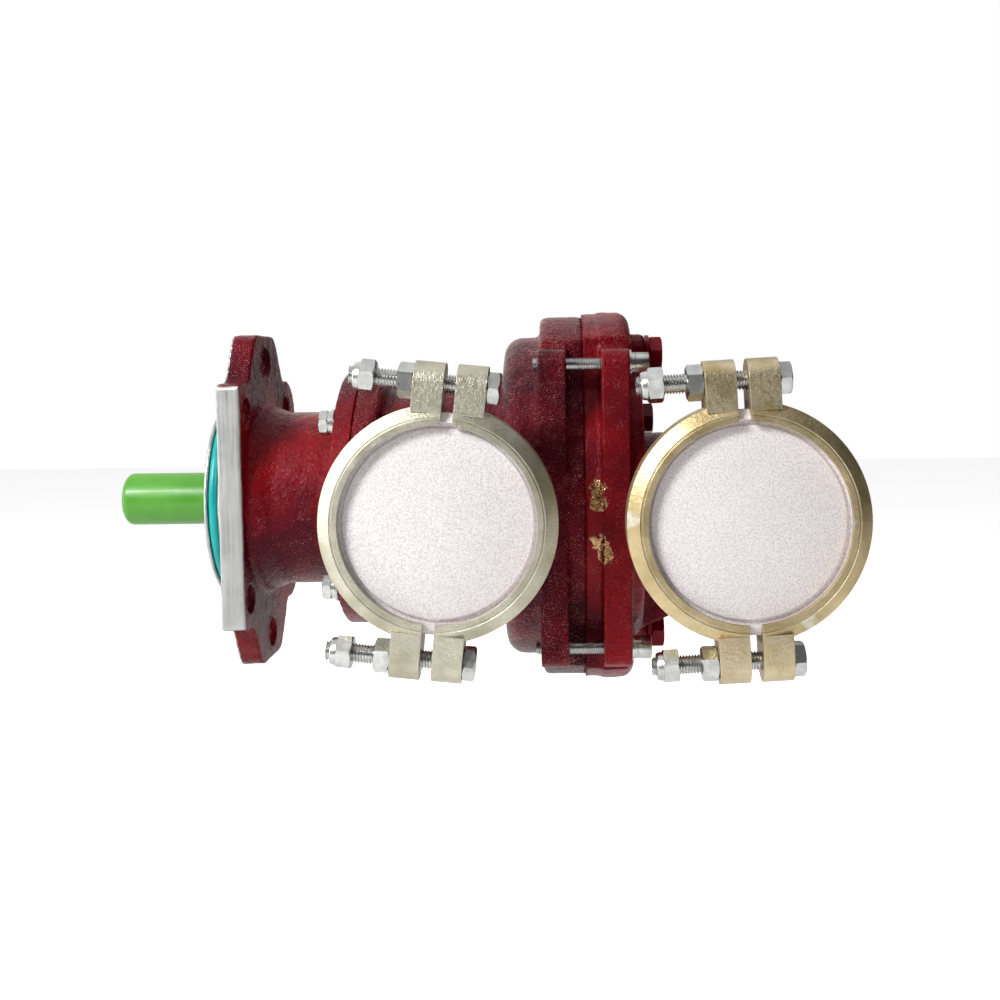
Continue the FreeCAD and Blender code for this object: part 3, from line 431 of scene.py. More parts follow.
mounting_face_x = 0.0
milled_side_y = -61.5
flange_back_x = 15.0
hole_margin = 2.5
flange_holes = ((0.0, 84.5, 8.5), (0.0, -84.5, 8.5), (49.0, 54.0, 8.2), (49.0, -54.0, 8.2),
                (-49.0, 54.0, 8.2), (-49.0, -54.0, 8.2))
neck_joint_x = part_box("discharge_casing")[0].x / mm
neck_bore_r = 46.0
flange_hole_end = 20.0
sharp_share = 0.4
face_margin = 0.4
side_margin = 0.3
joint_margin = 0.5
bare_margin = 0.9
housing_spacing = 1.3 * mm


def housing_softness(point):
    """Machined faces, bores and holes keep sharper edges than what is left as cast."""
    if point.x < mounting_face_x + face_margin:
        return sharp_share
    if point.x < flange_back_x and point.y < milled_side_y + side_margin:
        return sharp_share
    if point.x > neck_joint_x - joint_margin or math.hypot(point.y, point.z) < neck_bore_r:
        return sharp_share
    if point.x < flange_hole_end:
        for y, z, r in flange_holes:
            if math.hypot(point.y - y, point.z - z) < r + hole_margin:
                return sharp_share
    return 1.0


def housing_bare(point):
    """The machined face and spigot, the milled side and the bore carry no paint."""
    in_bore = math.hypot(point.y, point.z) < neck_bore_r
    on_face = point.x < mounting_face_x + bare_margin
    on_side = point.x < flange_back_x and point.y < milled_side_y + bare_margin
    return in_bore or on_face or on_side


enamel = make_enamel("crimson_enamel", enamel_deep, enamel_full, depth=0.0013, glints=0.87)
milled_bronze = make_milled("milled_side", light=(0.60, 0.60, 0.585), dark=(0.40, 0.40, 0.39),
                            stretch=(1.0, 1.0, 0.04))
make_casting("bearing_housing", housing_spacing, housing_softness, housing_bare,
             (enamel, milled_bronze))


# The O-ring on the spigot.
# A cord ring of teal rubber in the spigot's groove, which seals the pump to the engine.
soft_grain_strength = 0.6
coating_roughness_ends = (0.85, 1.15)
coat_roughness = 0.06


def make_coating(name, first, second, roughness, scale, lump=500.0, depth=0.00004, coat=0.0):
    """Paint, rubber, plastic or ceramic with a slight grain and drift of colour."""
    material, nodes, links = new_material(name)
    shader = nodes["Principled BSDF"]
    drift = spread(nodes, links, mottle(nodes, links, scale), *noise_band)
    links.new(tint(nodes, links, drift, first, second), shader.inputs["Base Color"])
    ends = [roughness * share for share in coating_roughness_ends]
    links.new(spread(nodes, links, drift, 0.0, 1.0, *ends), shader.inputs["Roughness"])
    grain = use_group(nodes, surface_grain, {"Lump Scale": lump, "Pit Scale": lump * 4,
                                             "Depth": depth, "Strength": soft_grain_strength})
    links.new(grain.outputs["Normal"], shader.inputs["Normal"])
    shader.inputs["Coat Weight"].default_value = coat
    shader.inputs["Coat Roughness"].default_value = coat_roughness
    return material


def finish_node(material, *names):
    """Gives a material to nodes whose shape is shown as it is."""
    for name in names:
        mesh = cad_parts[name].data
        mesh.materials.clear()
        mesh.materials.append(material)


teal_rubber = make_coating("teal_rubber", (0.0, 0.30, 0.29), (0.0, 0.38, 0.36), 0.38, 90.0)
finish_node(teal_rubber, "spigot_o_ring")


# The bearings and what holds them.
# Two ball bearings with brass cages on the shaft, a spacer between them, blued circlips, the
# oil seal behind them and a slinger that throws off any drip.
metal_roughness_ends = (0.8, 1.25)


def make_metal(name, first, second, roughness, scale=90.0, depth=0.00003, lump=900.0):
    """Bare or plated metal with a little drift in its colour and gloss."""
    material, nodes, links = new_material(name)
    shader = nodes["Principled BSDF"]
    drift = spread(nodes, links, mottle(nodes, links, scale), *noise_band)
    links.new(tint(nodes, links, drift, first, second), shader.inputs["Base Color"])
    shader.inputs["Metallic"].default_value = 1.0
    ends = [roughness * share for share in metal_roughness_ends]
    links.new(spread(nodes, links, drift, 0.0, 1.0, *ends), shader.inputs["Roughness"])
    grain = use_group(nodes, surface_grain, {"Lump Scale": lump, "Pit Scale": lump * 3,
                                             "Depth": depth, "Strength": soft_grain_strength})
    links.new(grain.outputs["Normal"], shader.inputs["Normal"])
    return material


bearing_steel = make_metal("polished_bearing_steel", (0.70, 0.70, 0.71), (0.62, 0.62, 0.64), 0.13)
turned_brass = make_metal("turned_brass", (0.74, 0.52, 0.18), (0.62, 0.42, 0.13), 0.28)
blued_steel = make_metal("blued_steel", (0.17, 0.17, 0.20), (0.11, 0.11, 0.15), 0.34)
ground_steel = make_metal("ground_steel", (0.56, 0.56, 0.55), (0.46, 0.46, 0.46), 0.27)
black_rubber = make_coating("black_rubber", (0.018, 0.018, 0.018), (0.032, 0.032, 0.032),
                            0.5, 80.0)
finish_node(bearing_steel, "front_bearing_outer_ring", "front_bearing_inner_ring",
            "front_bearing_balls", "rear_bearing_outer_ring", "rear_bearing_inner_ring",
            "rear_bearing_balls")
finish_node(turned_brass, "front_bearing_cage", "rear_bearing_cage")
finish_node(blued_steel, "bearing_circlip", "shaft_circlip")
finish_node(ground_steel, "bearing_spacer", "drive_shaft", "impeller_key")
finish_node(black_rubber, "oil_seal", "water_slinger", "housing_o_ring", "casing_o_ring",
            "seal_seat_o_ring")


# The shaft's water seal.
# A spring presses the seal's turning head on a ceramic seat, which an O-ring holds in the casing.
seal_ceramic = make_coating("seal_ceramic", (0.74, 0.72, 0.66), (0.66, 0.64, 0.58), 0.25, 120.0)
finish_node(seal_ceramic, "seal_seat")
finish_node(ground_steel, "seal_head")
finish_node(blued_steel, "seal_spring")


# The discharge casing.
# The drum with the outlet port, cast in bronze and painted as the housing is. It is machined
# only where the housing, the suction casing and the port's cover meet it.
casing_joint_x = 209.4
discharge_spacing = 1.9 * mm
discharge_ear = (184.0, 199.5)
discharge_port = Vector((133.7, -131.0, 0.0))
port_flange_r = 57.5
port_flange_depth = 5.5


def near_port_face(point, port):
    """On the machined V-flange of a port, under its clamp."""
    reach = math.hypot(point.x - port.x, point.z)
    return reach < port_flange_r and point.y < port.y + port_flange_depth


def discharge_softness(point):
    at_joint = (point.x < neck_joint_x + joint_margin
                or point.x > casing_joint_x - joint_margin)
    return sharp_share if at_joint or discharge_bare(point) else 1.0


def discharge_bare(point):
    return near_port_face(point, discharge_port)


# The same enamel as the housing's with coarser grain, its colours made darker: painted shade on
# this casing.
shaded_rough_enamel = make_enamel("crimson_enamel_rough_shaded", (0.028, 0.0005, 0.004), (0.14, 0.002, 0.006),
                           depth=0.0017, glints=0.82)
make_casting("discharge_casing", discharge_spacing, discharge_softness, discharge_bare,
             (shaded_rough_enamel, milled_bronze), bars=(discharge_ear,))


# The housing's screws.
# Four zinc-plated M8 hex screws with a flat and a spring washer each, in the housing's rear
# flange. They hold the housing to the discharge casing.
zinc_plate = make_metal("zinc_plate", (0.70, 0.71, 0.70), (0.55, 0.55, 0.53), 0.27, 160.0)
hex_steps = 8
chamfer_share = 0.96
chamfer_rise = math.tan(math.radians(30.0))


def add_hexagon(shape, flats, x0, x1, y, z, turn):
    """A hexagon bar along X from x0 to x1, its corners turned down to a round at its ends."""
    sides = 6 * hex_steps
    outline = []
    for i in range(sides):
        angle = 2 * math.pi * i / sides
        off_flat = (angle + math.pi / 6) % (math.pi / 3) - math.pi / 6
        outline.append((angle + math.radians(turn), flats / 2 / math.cos(off_flat)))
    round_r = flats / 2 * chamfer_share
    rings = []
    for level in range(4):
        ring = []
        for angle, r in outline:
            drop = (r - round_r) * chamfer_rise
            reach = round_r if level in (0, 3) else r
            x = (x0, x0 + drop, x1 - drop, x1)[level]
            ring.append(shape.verts.new(Vector((x, y + reach * math.cos(angle),
                                                z + reach * math.sin(angle))) * mm))
        rings.append([shape.edges.new((ring[i - 1], ring[i])) for i in range(sides)])
    for lower, upper in zip(rings, rings[1:]):
        bmesh.ops.bridge_loops(shape, edges=lower + upper)
    for ring in (rings[0], rings[-1]):
        bmesh.ops.contextual_create(shape, geom=ring)


thread_steps = 20
thread_merge = 0.01 * mm
thread_depth_share = 0.6134
root_end, crest_start, crest_end = 0.25, 0.56, 0.69


def add_thread(shape, radius, pitch, x0, x1, y, z):
    """A screw thread along X between two flat ends: one wound turn, set end to end and cut off."""
    turn = bmesh.new()
    root_r = radius - thread_depth_share * pitch
    ridge = ((0.0, root_r), (root_end * pitch, root_r), (crest_start * pitch, radius),
             (crest_end * pitch, radius), (pitch, root_r))
    verts = [turn.verts.new(Vector((x, r, 0)) * mm) for x, r in ridge]
    edges = [turn.edges.new(pair) for pair in zip(verts, verts[1:])]
    bmesh.ops.spin(turn, geom=verts + edges, cent=(0, 0, 0), axis=(1, 0, 0),
                   dvec=(pitch * mm / thread_steps, 0, 0), angle=2 * math.pi,
                   steps=thread_steps, use_merge=False, use_duplicate=False)
    one_turn = bpy.data.meshes.new("one_turn")
    turn.to_mesh(one_turn)
    turn.free()
    winding = bmesh.new()
    one_turn.transform(Matrix.Translation(((x0 - pitch) * mm, 0, 0)))
    for _ in range(math.ceil((x1 - x0) / pitch) + 1):
        winding.from_mesh(one_turn)
        one_turn.transform(Matrix.Translation((pitch * mm, 0, 0)))
    bmesh.ops.remove_doubles(winding, verts=winding.verts, dist=thread_merge)
    for x, way in ((x0, -1), (x1, 1)):
        everything = winding.verts[:] + winding.edges[:] + winding.faces[:]
        cut = bmesh.ops.bisect_plane(winding, geom=everything, plane_co=(x * mm, 0, 0),
                                     plane_no=(way, 0, 0), clear_outer=True)
        rim = [e for e in cut["geom_cut"] if isinstance(e, bmesh.types.BMEdge)]
        bmesh.ops.holes_fill(winding, edges=rim, sides=0)
    bmesh.ops.recalc_face_normals(winding, faces=winding.faces)
    winding.to_mesh(one_turn)
    winding.free()
    one_turn.transform(Matrix.Translation(Vector((0, y, z)) * mm))
    shape.from_mesh(one_turn)
    bpy.data.meshes.remove(one_turn)


turned_steps = 48
piece_merge = 0.005 * mm


def add_turned(shape, profile, y, z):
    """A closed round shape about an axis along X, from x and r pairs that end on the axis."""
    verts = [shape.verts.new(Vector((x, y + r, z)) * mm) for x, r in profile]
    edges = [shape.edges.new(pair) for pair in zip(verts, verts[1:])]
    bmesh.ops.spin(shape, geom=verts + edges, cent=Vector((0, y, z)) * mm, axis=(1, 0, 0),
                   angle=2 * math.pi, steps=turned_steps, use_merge=True)


def settle(shape, sharp=35.0):
    """Merges doubles, points the faces outwards and shades round faces smooth."""
    bmesh.ops.remove_doubles(shape, verts=shape.verts, dist=piece_merge)
    bmesh.ops.recalc_face_normals(shape, faces=shape.faces)
    for face in shape.faces:
        face.smooth = True
    for edge in shape.edges:
        edge.smooth = edge.calc_face_angle(0.0) < math.radians(sharp)


m8 = {"radius": 4.0, "pitch": 1.25, "flats": 13.0, "head": 5.3}
neck_screw_pitch_r = 68.0
neck_screw_seat = 61.9
neck_screw_end = 90.5
neck_screw_turn = 12.0
shape = bmesh.new()
for quarter in range(4):
    angle = math.radians(45 + 90 * quarter)
    y, z = neck_screw_pitch_r * math.cos(angle), neck_screw_pitch_r * math.sin(angle)
    add_hexagon(shape, m8["flats"], neck_screw_seat - m8["head"], neck_screw_seat, y, z,
                neck_screw_turn)
    add_thread(shape, m8["radius"], m8["pitch"], neck_screw_seat, neck_screw_end, y, z)
settle(shape)
new_piece("housing_hex_screws", shape, (zinc_plate,), "root", "zinc_steel", "housing_screws")
finish_node(zinc_plate, "housing_screw_washers")


# The impeller.
# A closed wheel of cast bronze keyed to the shaft, with its washer, nut and wear ring.
cast_bronze = make_metal("cast_bronze", (0.60, 0.36, 0.13), (0.45, 0.26, 0.09), 0.38, 60.0, 0.0002)
finish_node(cast_bronze, "impeller", "wear_ring")
finish_node(ground_steel, "impeller_washer", "impeller_nut")


# The suction casing.
# The pump's lid with the inlet elbow, cast and painted as the others. Its core shows bare
# bronze where the enamel has been knocked off beside the ears.
suction_spacing = 1.6 * mm
suction_ear = (219.0, 234.5)
suction_port = Vector((289.5, -140.0, 0.0))
worn_places = ((216.0, -87.5, 11.5, 6.5), (216.5, -87.5, 4.5, 6.5), (217.0, -87.5, -18.0, 6.5),
               (219.5, -87.5, -25.0, 6.5))


def suction_softness(point):
    at_joint = point.x < casing_joint_x + joint_margin
    return sharp_share if at_joint or suction_bare(point) else 1.0


def suction_bare(point):
    return near_port_face(point, suction_port)


# The same enamel as the housing's, its colours made brighter: painted light on this casing, where
# it faces the lamps.
lit_worn_enamel = make_enamel("crimson_enamel_worn_lit", (0.07, 0.002, 0.006), (0.24, 0.005, 0.007),
                          depth=0.0010, glints=0.87, worn=worn_places)
make_casting("suction_casing", suction_spacing, suction_softness, suction_bare,
             (lit_worn_enamel, milled_bronze), bars=(suction_ear,))


# The suction casing's screws.
# Four M12 hex screws with washers, painted over with the casing.
head_enamel = make_enamel("crimson_enamel_heads", enamel_deep, enamel_full, depth=0.0004,
                          glints=0.95)
m12 = {"radius": 6.0, "pitch": 1.75, "flats": 19.0, "head": 8.0}
end_screw_seat = 251.0
end_screw_end = 191.0
end_screw_pitch_r = 86.5
end_screw_turn = 20.0
shape = bmesh.new()
for angle in (90.0, 270.0, 30.0, 330.0):
    y = end_screw_pitch_r * math.cos(math.radians(angle))
    z = end_screw_pitch_r * math.sin(math.radians(angle))
    add_hexagon(shape, m12["flats"], end_screw_seat, end_screw_seat + m12["head"], y, z,
                end_screw_turn)
    add_thread(shape, m12["radius"], m12["pitch"], end_screw_end, end_screw_seat, y, z)
settle(shape)
new_piece("casing_hex_screws", shape, (head_enamel,), "root", "red_paint", "casing_screws")
finish_node(head_enamel, "casing_screw_washers")


# The ear screws.
# Two zinc-plated M8 socket screws through the ears of both casings, their thread bare between
# the ears, with a flat and a spring washer under each head.
ear_screws = ((-70.0, 80.0), (-70.0, -80.0))
ear_screw_tip = 181.0
ear_screw_seat = 238.1
ear_head_end = 246.1
ear_head_r = 6.5
socket_r = 3.3
socket_depth = 4.5
socket_head = ((ear_screw_seat, 0), (ear_screw_seat, ear_head_r - 0.3),
               (ear_screw_seat + 0.3, ear_head_r), (ear_head_end - 0.8, ear_head_r),
               (ear_head_end - 0.25, ear_head_r - 0.25), (ear_head_end, ear_head_r - 0.8),
               (ear_head_end, socket_r + 0.4), (ear_head_end - 0.4, socket_r),
               (ear_head_end - socket_depth, socket_r), (ear_head_end - socket_depth - 1, 0))
shape = bmesh.new()
for y, z in ear_screws:
    add_thread(shape, m8["radius"], m8["pitch"], ear_screw_tip, ear_screw_seat, y, z)
    add_turned(shape, socket_head, y, z)
settle(shape)
new_piece("ear_socket_screws", shape, (zinc_plate,), "root", "zinc_steel", "casing_cap_screws")
finish_node(zinc_plate, "cap_screw_washers")


# The port covers.
# Discs of off-white moulded plastic with a gasket behind them, which close both ports for
# shipping. Their V-shaped edge lies in the clamp with the port's own flange.
cover_speck_scale = 1100.0
cover_speck_band = (0.34, 0.58)
cover_drift_scale = 40.0
cover_roughness = 0.62
cover_grain = {"Lump Scale": 500.0, "Pit Scale": 1500.0, "Depth": 0.00012, "Strength": 0.7}
cover_pale = (0.79, 0.75, 0.755)
cover_pink = (0.76, 0.715, 0.72)
cover_speck = (0.60, 0.535, 0.545)


def make_speckled(name):
    """Pale plastic full of fine darker points."""
    material, nodes, links = new_material(name)
    shader = nodes["Principled BSDF"]
    speck = spread(nodes, links, mottle(nodes, links, cover_speck_scale, 1.0),
                   *cover_speck_band)
    drift = spread(nodes, links, mottle(nodes, links, cover_drift_scale), *wide_noise_band)
    colour = tint(nodes, links, drift, cover_pink, cover_pale)
    links.new(tint(nodes, links, speck, cover_speck, colour), shader.inputs["Base Color"])
    shader.inputs["Roughness"].default_value = cover_roughness
    grain = use_group(nodes, surface_grain, cover_grain)
    links.new(grain.outputs["Normal"], shader.inputs["Normal"])
    return material


cover_white = make_speckled("speckled_cover")
v_flange_r = 56.7
cover_outline = ((-0.8, 0.0), (-0.8, v_flange_r - 0.4), (-1.2, v_flange_r), (-5.0, v_flange_r),
                 (-8.0, 52.2), (-8.1, 51.8), (-7.8, 51.6), (-4.4, 51.5), (-4.0, 51.2),
                 (-4.0, 49.5), (-4.4, 49.0), (-5.5, 49.0), (-6.2, 48.7), (-6.5, 48.0), (-6.5, 0.0))


def port_turn(port_x, port_y, turn):
    """Places a shape made with the port at the origin."""
    return Matrix.Translation(Vector((port_x, port_y, 0)) * mm) @ Matrix.Rotation(
        math.radians(turn), 4, "Y")


cover_steps = 128
discharge_turn = 6.0
suction_turn = -2.75
ports = (("discharge", port_turn(discharge_port.x, discharge_port.y, discharge_turn)),
         ("suction", port_turn(suction_port.x, suction_port.y, suction_turn)))
for port, place in ports:
    shape = bmesh.new()
    verts = [shape.verts.new(Vector((r, y, 0)) * mm) for y, r in cover_outline]
    edges = [shape.edges.new(pair) for pair in zip(verts, verts[1:])]
    bmesh.ops.spin(shape, geom=verts + edges, cent=(0, 0, 0), axis=(0, 1, 0),
                   angle=2 * math.pi, steps=cover_steps, use_merge=True)
    settle(shape, sharp=50.0)
    bmesh.ops.transform(shape, matrix=place, verts=shape.verts)
    new_piece(port + "_cover_disc", shape, (cover_white,), "root", "cover_white",
              port + "_cover")
finish_node(black_rubber, "discharge_gasket", "suction_gasket")


# The clamp halves.
# Cast steel half rings with a lug at each end, blasted and passivated to a straw colour, which
# is more golden on the right-hand clamp. Their V-groove squeezes the cover on the port's flange.
clamp_worn = (0.72, 0.70, 0.60)
clamp_drift_scale = 45.0
clamp_speck_scale = 1500.0
clamp_speck_band = (0.25, 0.52)
clamp_metallic = 0.9
clamp_roughness = (0.48, 0.34)
clamp_grain = {"Lump Scale": 480.0, "Pit Scale": 1300.0, "Depth": 0.0004, "Strength": 1.0}
clamp_rub = {"Start": 0.52, "Full": 0.60, "Patch Scale": 90.0, "Patch Start": 0.3,
             "Patch Full": 0.5}


def make_clamp_metal(name, dark, light):
    """Blasted and passivated steel, paler where its edges have rubbed."""
    material, nodes, links = new_material(name)
    shader = nodes["Principled BSDF"]
    drift = spread(nodes, links, mottle(nodes, links, clamp_drift_scale), *noise_band)
    colour = tint(nodes, links, drift, dark, light)
    speck = spread(nodes, links, mottle(nodes, links, clamp_speck_scale, 2.0),
                   *clamp_speck_band)
    colour = tint(nodes, links, speck, dark, colour)
    raised_edges = use_group(nodes, edge_wear_and_sheen, clamp_rub)
    links.new(tint(nodes, links, raised_edges.outputs["Edge Mask"], colour, clamp_worn),
              shader.inputs["Base Color"])
    shader.inputs["Metallic"].default_value = clamp_metallic
    grain = use_group(nodes, surface_grain, clamp_grain)
    links.new(grain.outputs["Normal"], shader.inputs["Normal"])
    links.new(spread(nodes, links, grain.outputs["Height"], *wide_noise_band, *clamp_roughness),
              shader.inputs["Roughness"])
    return material


clamp_metals = {
    "discharge": make_clamp_metal("straw_clamp_steel", (0.46, 0.43, 0.31), (0.72, 0.69, 0.57)),
    "suction": make_clamp_metal("golden_clamp_steel", (0.50, 0.39, 0.20), (0.78, 0.645, 0.39))}
clamp_gap_half = 3.1
lug_face = 18.6
lug_half_w = 10.7
lug_foot_z = 56.0
lug_bolt_z = 71.0
lug_round_steps = 12
lug_turns = [math.pi * i / lug_round_steps for i in range(lug_round_steps + 1)]
lug_outline = [(lug_half_w, lug_foot_z),
               *((lug_half_w * math.cos(a), lug_bolt_z + lug_half_w * math.sin(a))
                 for a in lug_turns),
               (-lug_half_w, lug_foot_z)]
groove_back_r = 56.85
groove_half = 5.1
lip_r = 50.5
lip_groove = 9.0
crease_r = 54.0
crease_depth = 0.8
ring_r = 61.0
ring_edge = 7.5
ring_half = 12.0
half_outline = ((groove_back_r, groove_half), (lip_r, lip_groove), (lip_r, ring_half),
                (crease_r - 0.45, ring_half), (crease_r - 0.1, ring_half - crease_depth),
                (crease_r + 0.25, ring_half - crease_depth), (crease_r + 0.7, ring_half - 0.45),
                (ring_r, ring_edge))
ring_steps = 144
clamp_edge_r = 0.5
clamp_edge_steps = 3
clamp_edge_angle = math.radians(25)
for port, place in ports:
    for side, facing in (("head_side", 1), ("nut_side", -1)):
        shape = bmesh.new()
        outline = half_outline + tuple((r, -y) for r, y in reversed(half_outline))
        verts = [shape.verts.new(Vector((r, y, 0)) * mm) for r, y in outline]
        edges = [shape.edges.new((verts[i - 1], verts[i])) for i in range(len(verts))]
        bmesh.ops.spin(shape, geom=verts + edges, cent=(0, 0, 0), axis=(0, 1, 0),
                       angle=2 * math.pi, steps=ring_steps, use_merge=True)
        cut = bmesh.ops.bisect_plane(shape, geom=shape.verts[:] + shape.edges[:] + shape.faces[:],
                                     plane_co=(clamp_gap_half * mm, 0, 0), plane_no=(-1, 0, 0),
                                     clear_outer=True)
        rim = [e for e in cut["geom_cut"] if isinstance(e, bmesh.types.BMEdge)]
        bmesh.ops.holes_fill(shape, edges=rim, sides=0)
        for end in (1, -1):
            front = [shape.verts.new(Vector((clamp_gap_half, y, end * z)) * mm)
                     for y, z in lug_outline]
            extrude_face(shape, shape.faces.new(front), lug_face - clamp_gap_half)
        if facing < 0:
            bmesh.ops.rotate(shape, verts=shape.verts, cent=(0, 0, 0),
                             matrix=Matrix.Rotation(math.pi, 3, "Y"))
        settle(shape, sharp=30.0)
        bmesh.ops.transform(shape, matrix=place, verts=shape.verts)
        piece = new_piece(port + "_clamp_casting_" + side, shape, (clamp_metals[port],),
                          "root" if facing > 0 else port + "_clamp", "clamp_steel",
                          port + "_clamp_" + side)
        soft = piece.modifiers.new("soft_edges", "BEVEL")
        soft.width = clamp_edge_r * mm
        soft.segments = clamp_edge_steps
        soft.limit_method = "ANGLE"
        soft.angle_limit = clamp_edge_angle
        soft.harden_normals = True


# The clamp bolts, nuts and lock nuts.
# M10 bolts through the lugs, zinc plated. Each has a nut on the lug and, further out on its
# free thread, a lock nut with a domed collar.
m10 = {"radius": 5.0, "pitch": 1.5, "flats": 16.0, "head": 6.4}
clamp_nut_end = 27.0
lock_nut_face = 38.5
lock_nut_hex_end = 46.5
lock_nut_end = 49.9
bolt_tip = 51.9
collar_r = 7.2
bolt_turn = 30.0
clamp_nut_turn = 3.0
lock_nut_turn = 14.0
thread_lap = 0.5
collar = ((-lock_nut_hex_end + 0.3, 0), (-lock_nut_hex_end + 0.3, collar_r + 0.3),
          (-lock_nut_hex_end - 0.6, collar_r), (-lock_nut_end + 1.1, collar_r - 0.2),
          (-lock_nut_end + 0.4, collar_r - 0.6), (-lock_nut_end, collar_r - 1.4),
          (-lock_nut_end, m10["radius"] + 0.2), (-lock_nut_end + 0.8, m10["radius"]),
          (-lock_nut_end + 0.9, 0))
for port, place in ports:
    bolts, nuts, locks = bmesh.new(), bmesh.new(), bmesh.new()
    for z in (lug_bolt_z, -lug_bolt_z):
        add_hexagon(bolts, m10["flats"], lug_face, lug_face + m10["head"], 0, z, bolt_turn)
        add_thread(bolts, m10["radius"], m10["pitch"], -bolt_tip, lug_face + thread_lap, 0, z)
        add_hexagon(nuts, m10["flats"], -clamp_nut_end, -lug_face, 0, z, clamp_nut_turn)
        add_hexagon(locks, m10["flats"], -lock_nut_hex_end, -lock_nut_face, 0, z, lock_nut_turn)
        add_turned(locks, collar, 0, z)
    for shape, name, body, node in ((bolts, "_bolt_pair", "root", "_clamp_bolts"),
                                    (nuts, "_nut_pair", port + "_clamp", "_clamp_nuts"),
                                    (locks, "_lock_nut_pair", "root", "_lock_nuts")):
        settle(shape)
        bmesh.ops.transform(shape, matrix=place, verts=shape.verts)
        new_piece(port + name, shape, (zinc_plate,), body, "zinc_steel", port + node)


# The cap over the drive end.
# A thin cap of glossy green plastic, pushed over the shaft's end for shipping.
green_plastic = make_coating("green_plastic", (0.064, 0.26, 0.018), (0.082, 0.315, 0.024),
                             roughness=0.38, scale=40.0, lump=200.0, depth=0.00005, coat=0.12)
finish_node(green_plastic, "shaft_protector")


# The table.
# A white floor well below the pump. It takes the pump's shadow, and glows a little to the
# camera only, so that it reads as white paper.
floor_drop = 190 * mm
floor_half = 4.0
floor_grey = 0.86
floor_roughness = 0.9
floor_glow = 0.8
shape = bmesh.new()
bmesh.ops.create_grid(shape, x_segments=1, y_segments=1, size=floor_half)
bmesh.ops.translate(shape, verts=shape.verts, vec=(0, 0, bare_box[0].z - floor_drop))
material, nodes, links = new_material("white_floor")
shader = nodes["Principled BSDF"]
shader.inputs["Base Color"].default_value = (floor_grey, floor_grey, floor_grey, 1)
shader.inputs["Roughness"].default_value = floor_roughness
shader.inputs["Specular IOR Level"].default_value = 0.0
shader.inputs["Emission Color"].default_value = (1, 1, 1, 1)
rays = nodes.new("ShaderNodeLightPath")
links.new(combine(nodes, links, "MULTIPLY", rays.outputs["Is Camera Ray"], floor_glow),
          shader.inputs["Emission Strength"])
mesh = bpy.data.meshes.new("floor")
shape.to_mesh(mesh)
shape.free()
mesh.materials.append(material)
floor = bpy.data.objects.new("floor", mesh)
scene.collection.objects.link(floor)


# The room.
# White to the camera. It is darker behind the camera and at its right, so that bright metal
# has something to show, and mirrors see it bright overhead.
room_light = 0.5
room_behind = 0.12
room_right = 0.04
room_above = 0.9
behind_fade = (-0.1, 0.45)
right_fade = (-0.15, 0.35)
above_fade = (0.7, 0.95)
world = bpy.data.worlds.new("white_room")
world.use_nodes = True
scene.world = world
nodes, links = world.node_tree.nodes, world.node_tree.links
rays = nodes.new("ShaderNodeLightPath")
way = nodes.new("ShaderNodeTexCoord")
split = nodes.new("ShaderNodeSeparateXYZ")
links.new(way.outputs["Generated"], split.inputs[0])
front = spread(nodes, links, split.outputs["Y"], *behind_fade, room_behind, 1.0)
right = spread(nodes, links, split.outputs["X"], *right_fade, 1.0, room_right)
shown = combine(nodes, links, "MULTIPLY", front, right)
lit = combine(nodes, links, "MULTIPLY", shown, room_light)
above = spread(nodes, links, split.outputs["Z"], *above_fade, 0.0, room_above)
mirrored = combine(nodes, links, "MAXIMUM", shown, above)
strength = nodes.new("ShaderNodeMix")
links.new(rays.outputs["Is Glossy Ray"], strength.inputs[0])
links.new(lit, strength.inputs[2])
links.new(mirrored, strength.inputs[3])
seen = nodes.new("ShaderNodeMix")
links.new(rays.outputs["Is Camera Ray"], seen.inputs[0])
links.new(strength.outputs[0], seen.inputs[2])
seen.inputs[3].default_value = 1.0
links.new(seen.outputs[0], nodes["Background"].inputs["Strength"])
nodes["Background"].inputs["Color"].default_value = (1, 1, 1, 1)


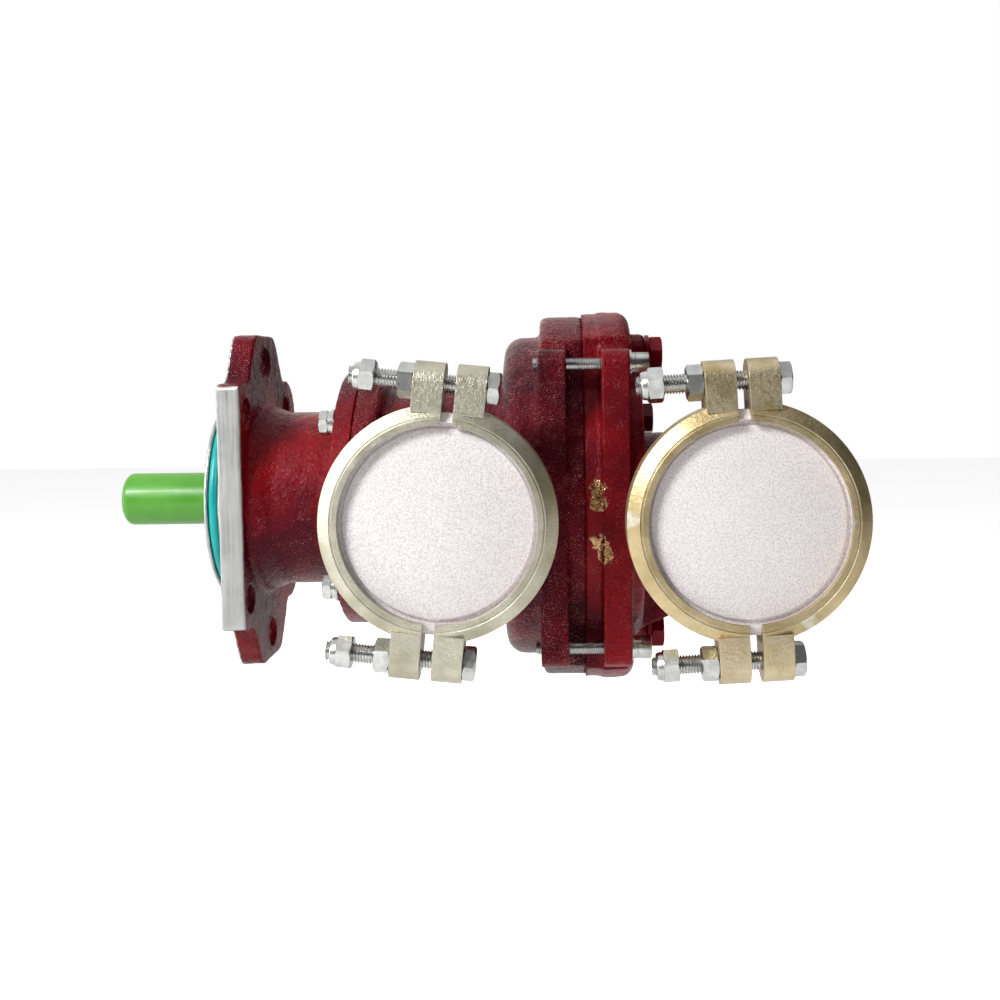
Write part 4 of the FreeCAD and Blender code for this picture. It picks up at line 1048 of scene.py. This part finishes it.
# The lamps.
# Soft boxes turned to the pump's middle. The one at the upper left and the tall one at the
# left show in reflections, and the others only fill in.
pump_middle = (bare_box[0] + bare_box[1]) / 2
soft_boxes = (                                   # place, width, height, watts, in reflections
    ("upper_left_box", (-0.75, -1.05, 0.85), 0.45, 0.45, 25, True),
    ("overhead_box", (0.15, 0.15, 1.25), 1.4, 1.0, 9, False),
    ("left_box", (-1.45, -0.3, 0.1), 0.5, 1.3, 9, True),
    ("front_fill", (0.35, -1.6, 0.0), 0.5, 0.5, 2, False),
    ("far_right_box", (1.2, 0.8, 0.8), 0.8, 0.8, 10, False),
    ("low_box", (0.0, -0.7, -0.25), 0.8, 0.1, 0.5, False))
for name, place, width, height, power, in_gloss in soft_boxes:
    lamp = bpy.data.lights.new(name, "AREA")
    lamp.shape = "RECTANGLE"
    lamp.size = width
    lamp.size_y = height
    lamp.energy = power
    holder = bpy.data.objects.new(name, lamp)
    holder.location = place
    holder.visible_glossy = in_gloss
    holder.rotation_euler = (pump_middle - Vector(place)).to_track_quat("-Z", "Y").to_euler()
    scene.collection.objects.link(holder)


# The camera.
# It looks at the ports from slightly above. Its place, lens and turn come from a fit of the
# pump's own edges and fasteners to where they lie in the photograph.
camera_place = Vector((196.9, -717.1, 77.2)) * mm
camera_yaw = math.radians(0.42)
camera_pitch = math.radians(3.02)
camera_roll = math.radians(-0.74)
frame_width = 1000.0
focal_width = 1154.2
centre_across = 553.4
centre_down = 430.9
sensor_width = 36.0
lens = bpy.data.cameras.new("camera")
lens.sensor_width = sensor_width
lens.lens = focal_width / frame_width * sensor_width
lens.shift_x = 0.5 - centre_across / frame_width
lens.shift_y = centre_down / frame_width - 0.5
lens.clip_start = 0.01
camera = bpy.data.objects.new("camera", lens)
scene.collection.objects.link(camera)
look = Matrix.Rotation(camera_yaw, 4, "Z") @ Matrix.Rotation(math.pi / 2 - camera_pitch, 4, "X")
roll = Matrix.Rotation(camera_roll, 4, "Z")
camera.matrix_world = Matrix.Translation(camera_place) @ look @ roll
scene.camera = camera
scene.view_settings.view_transform = "Standard"
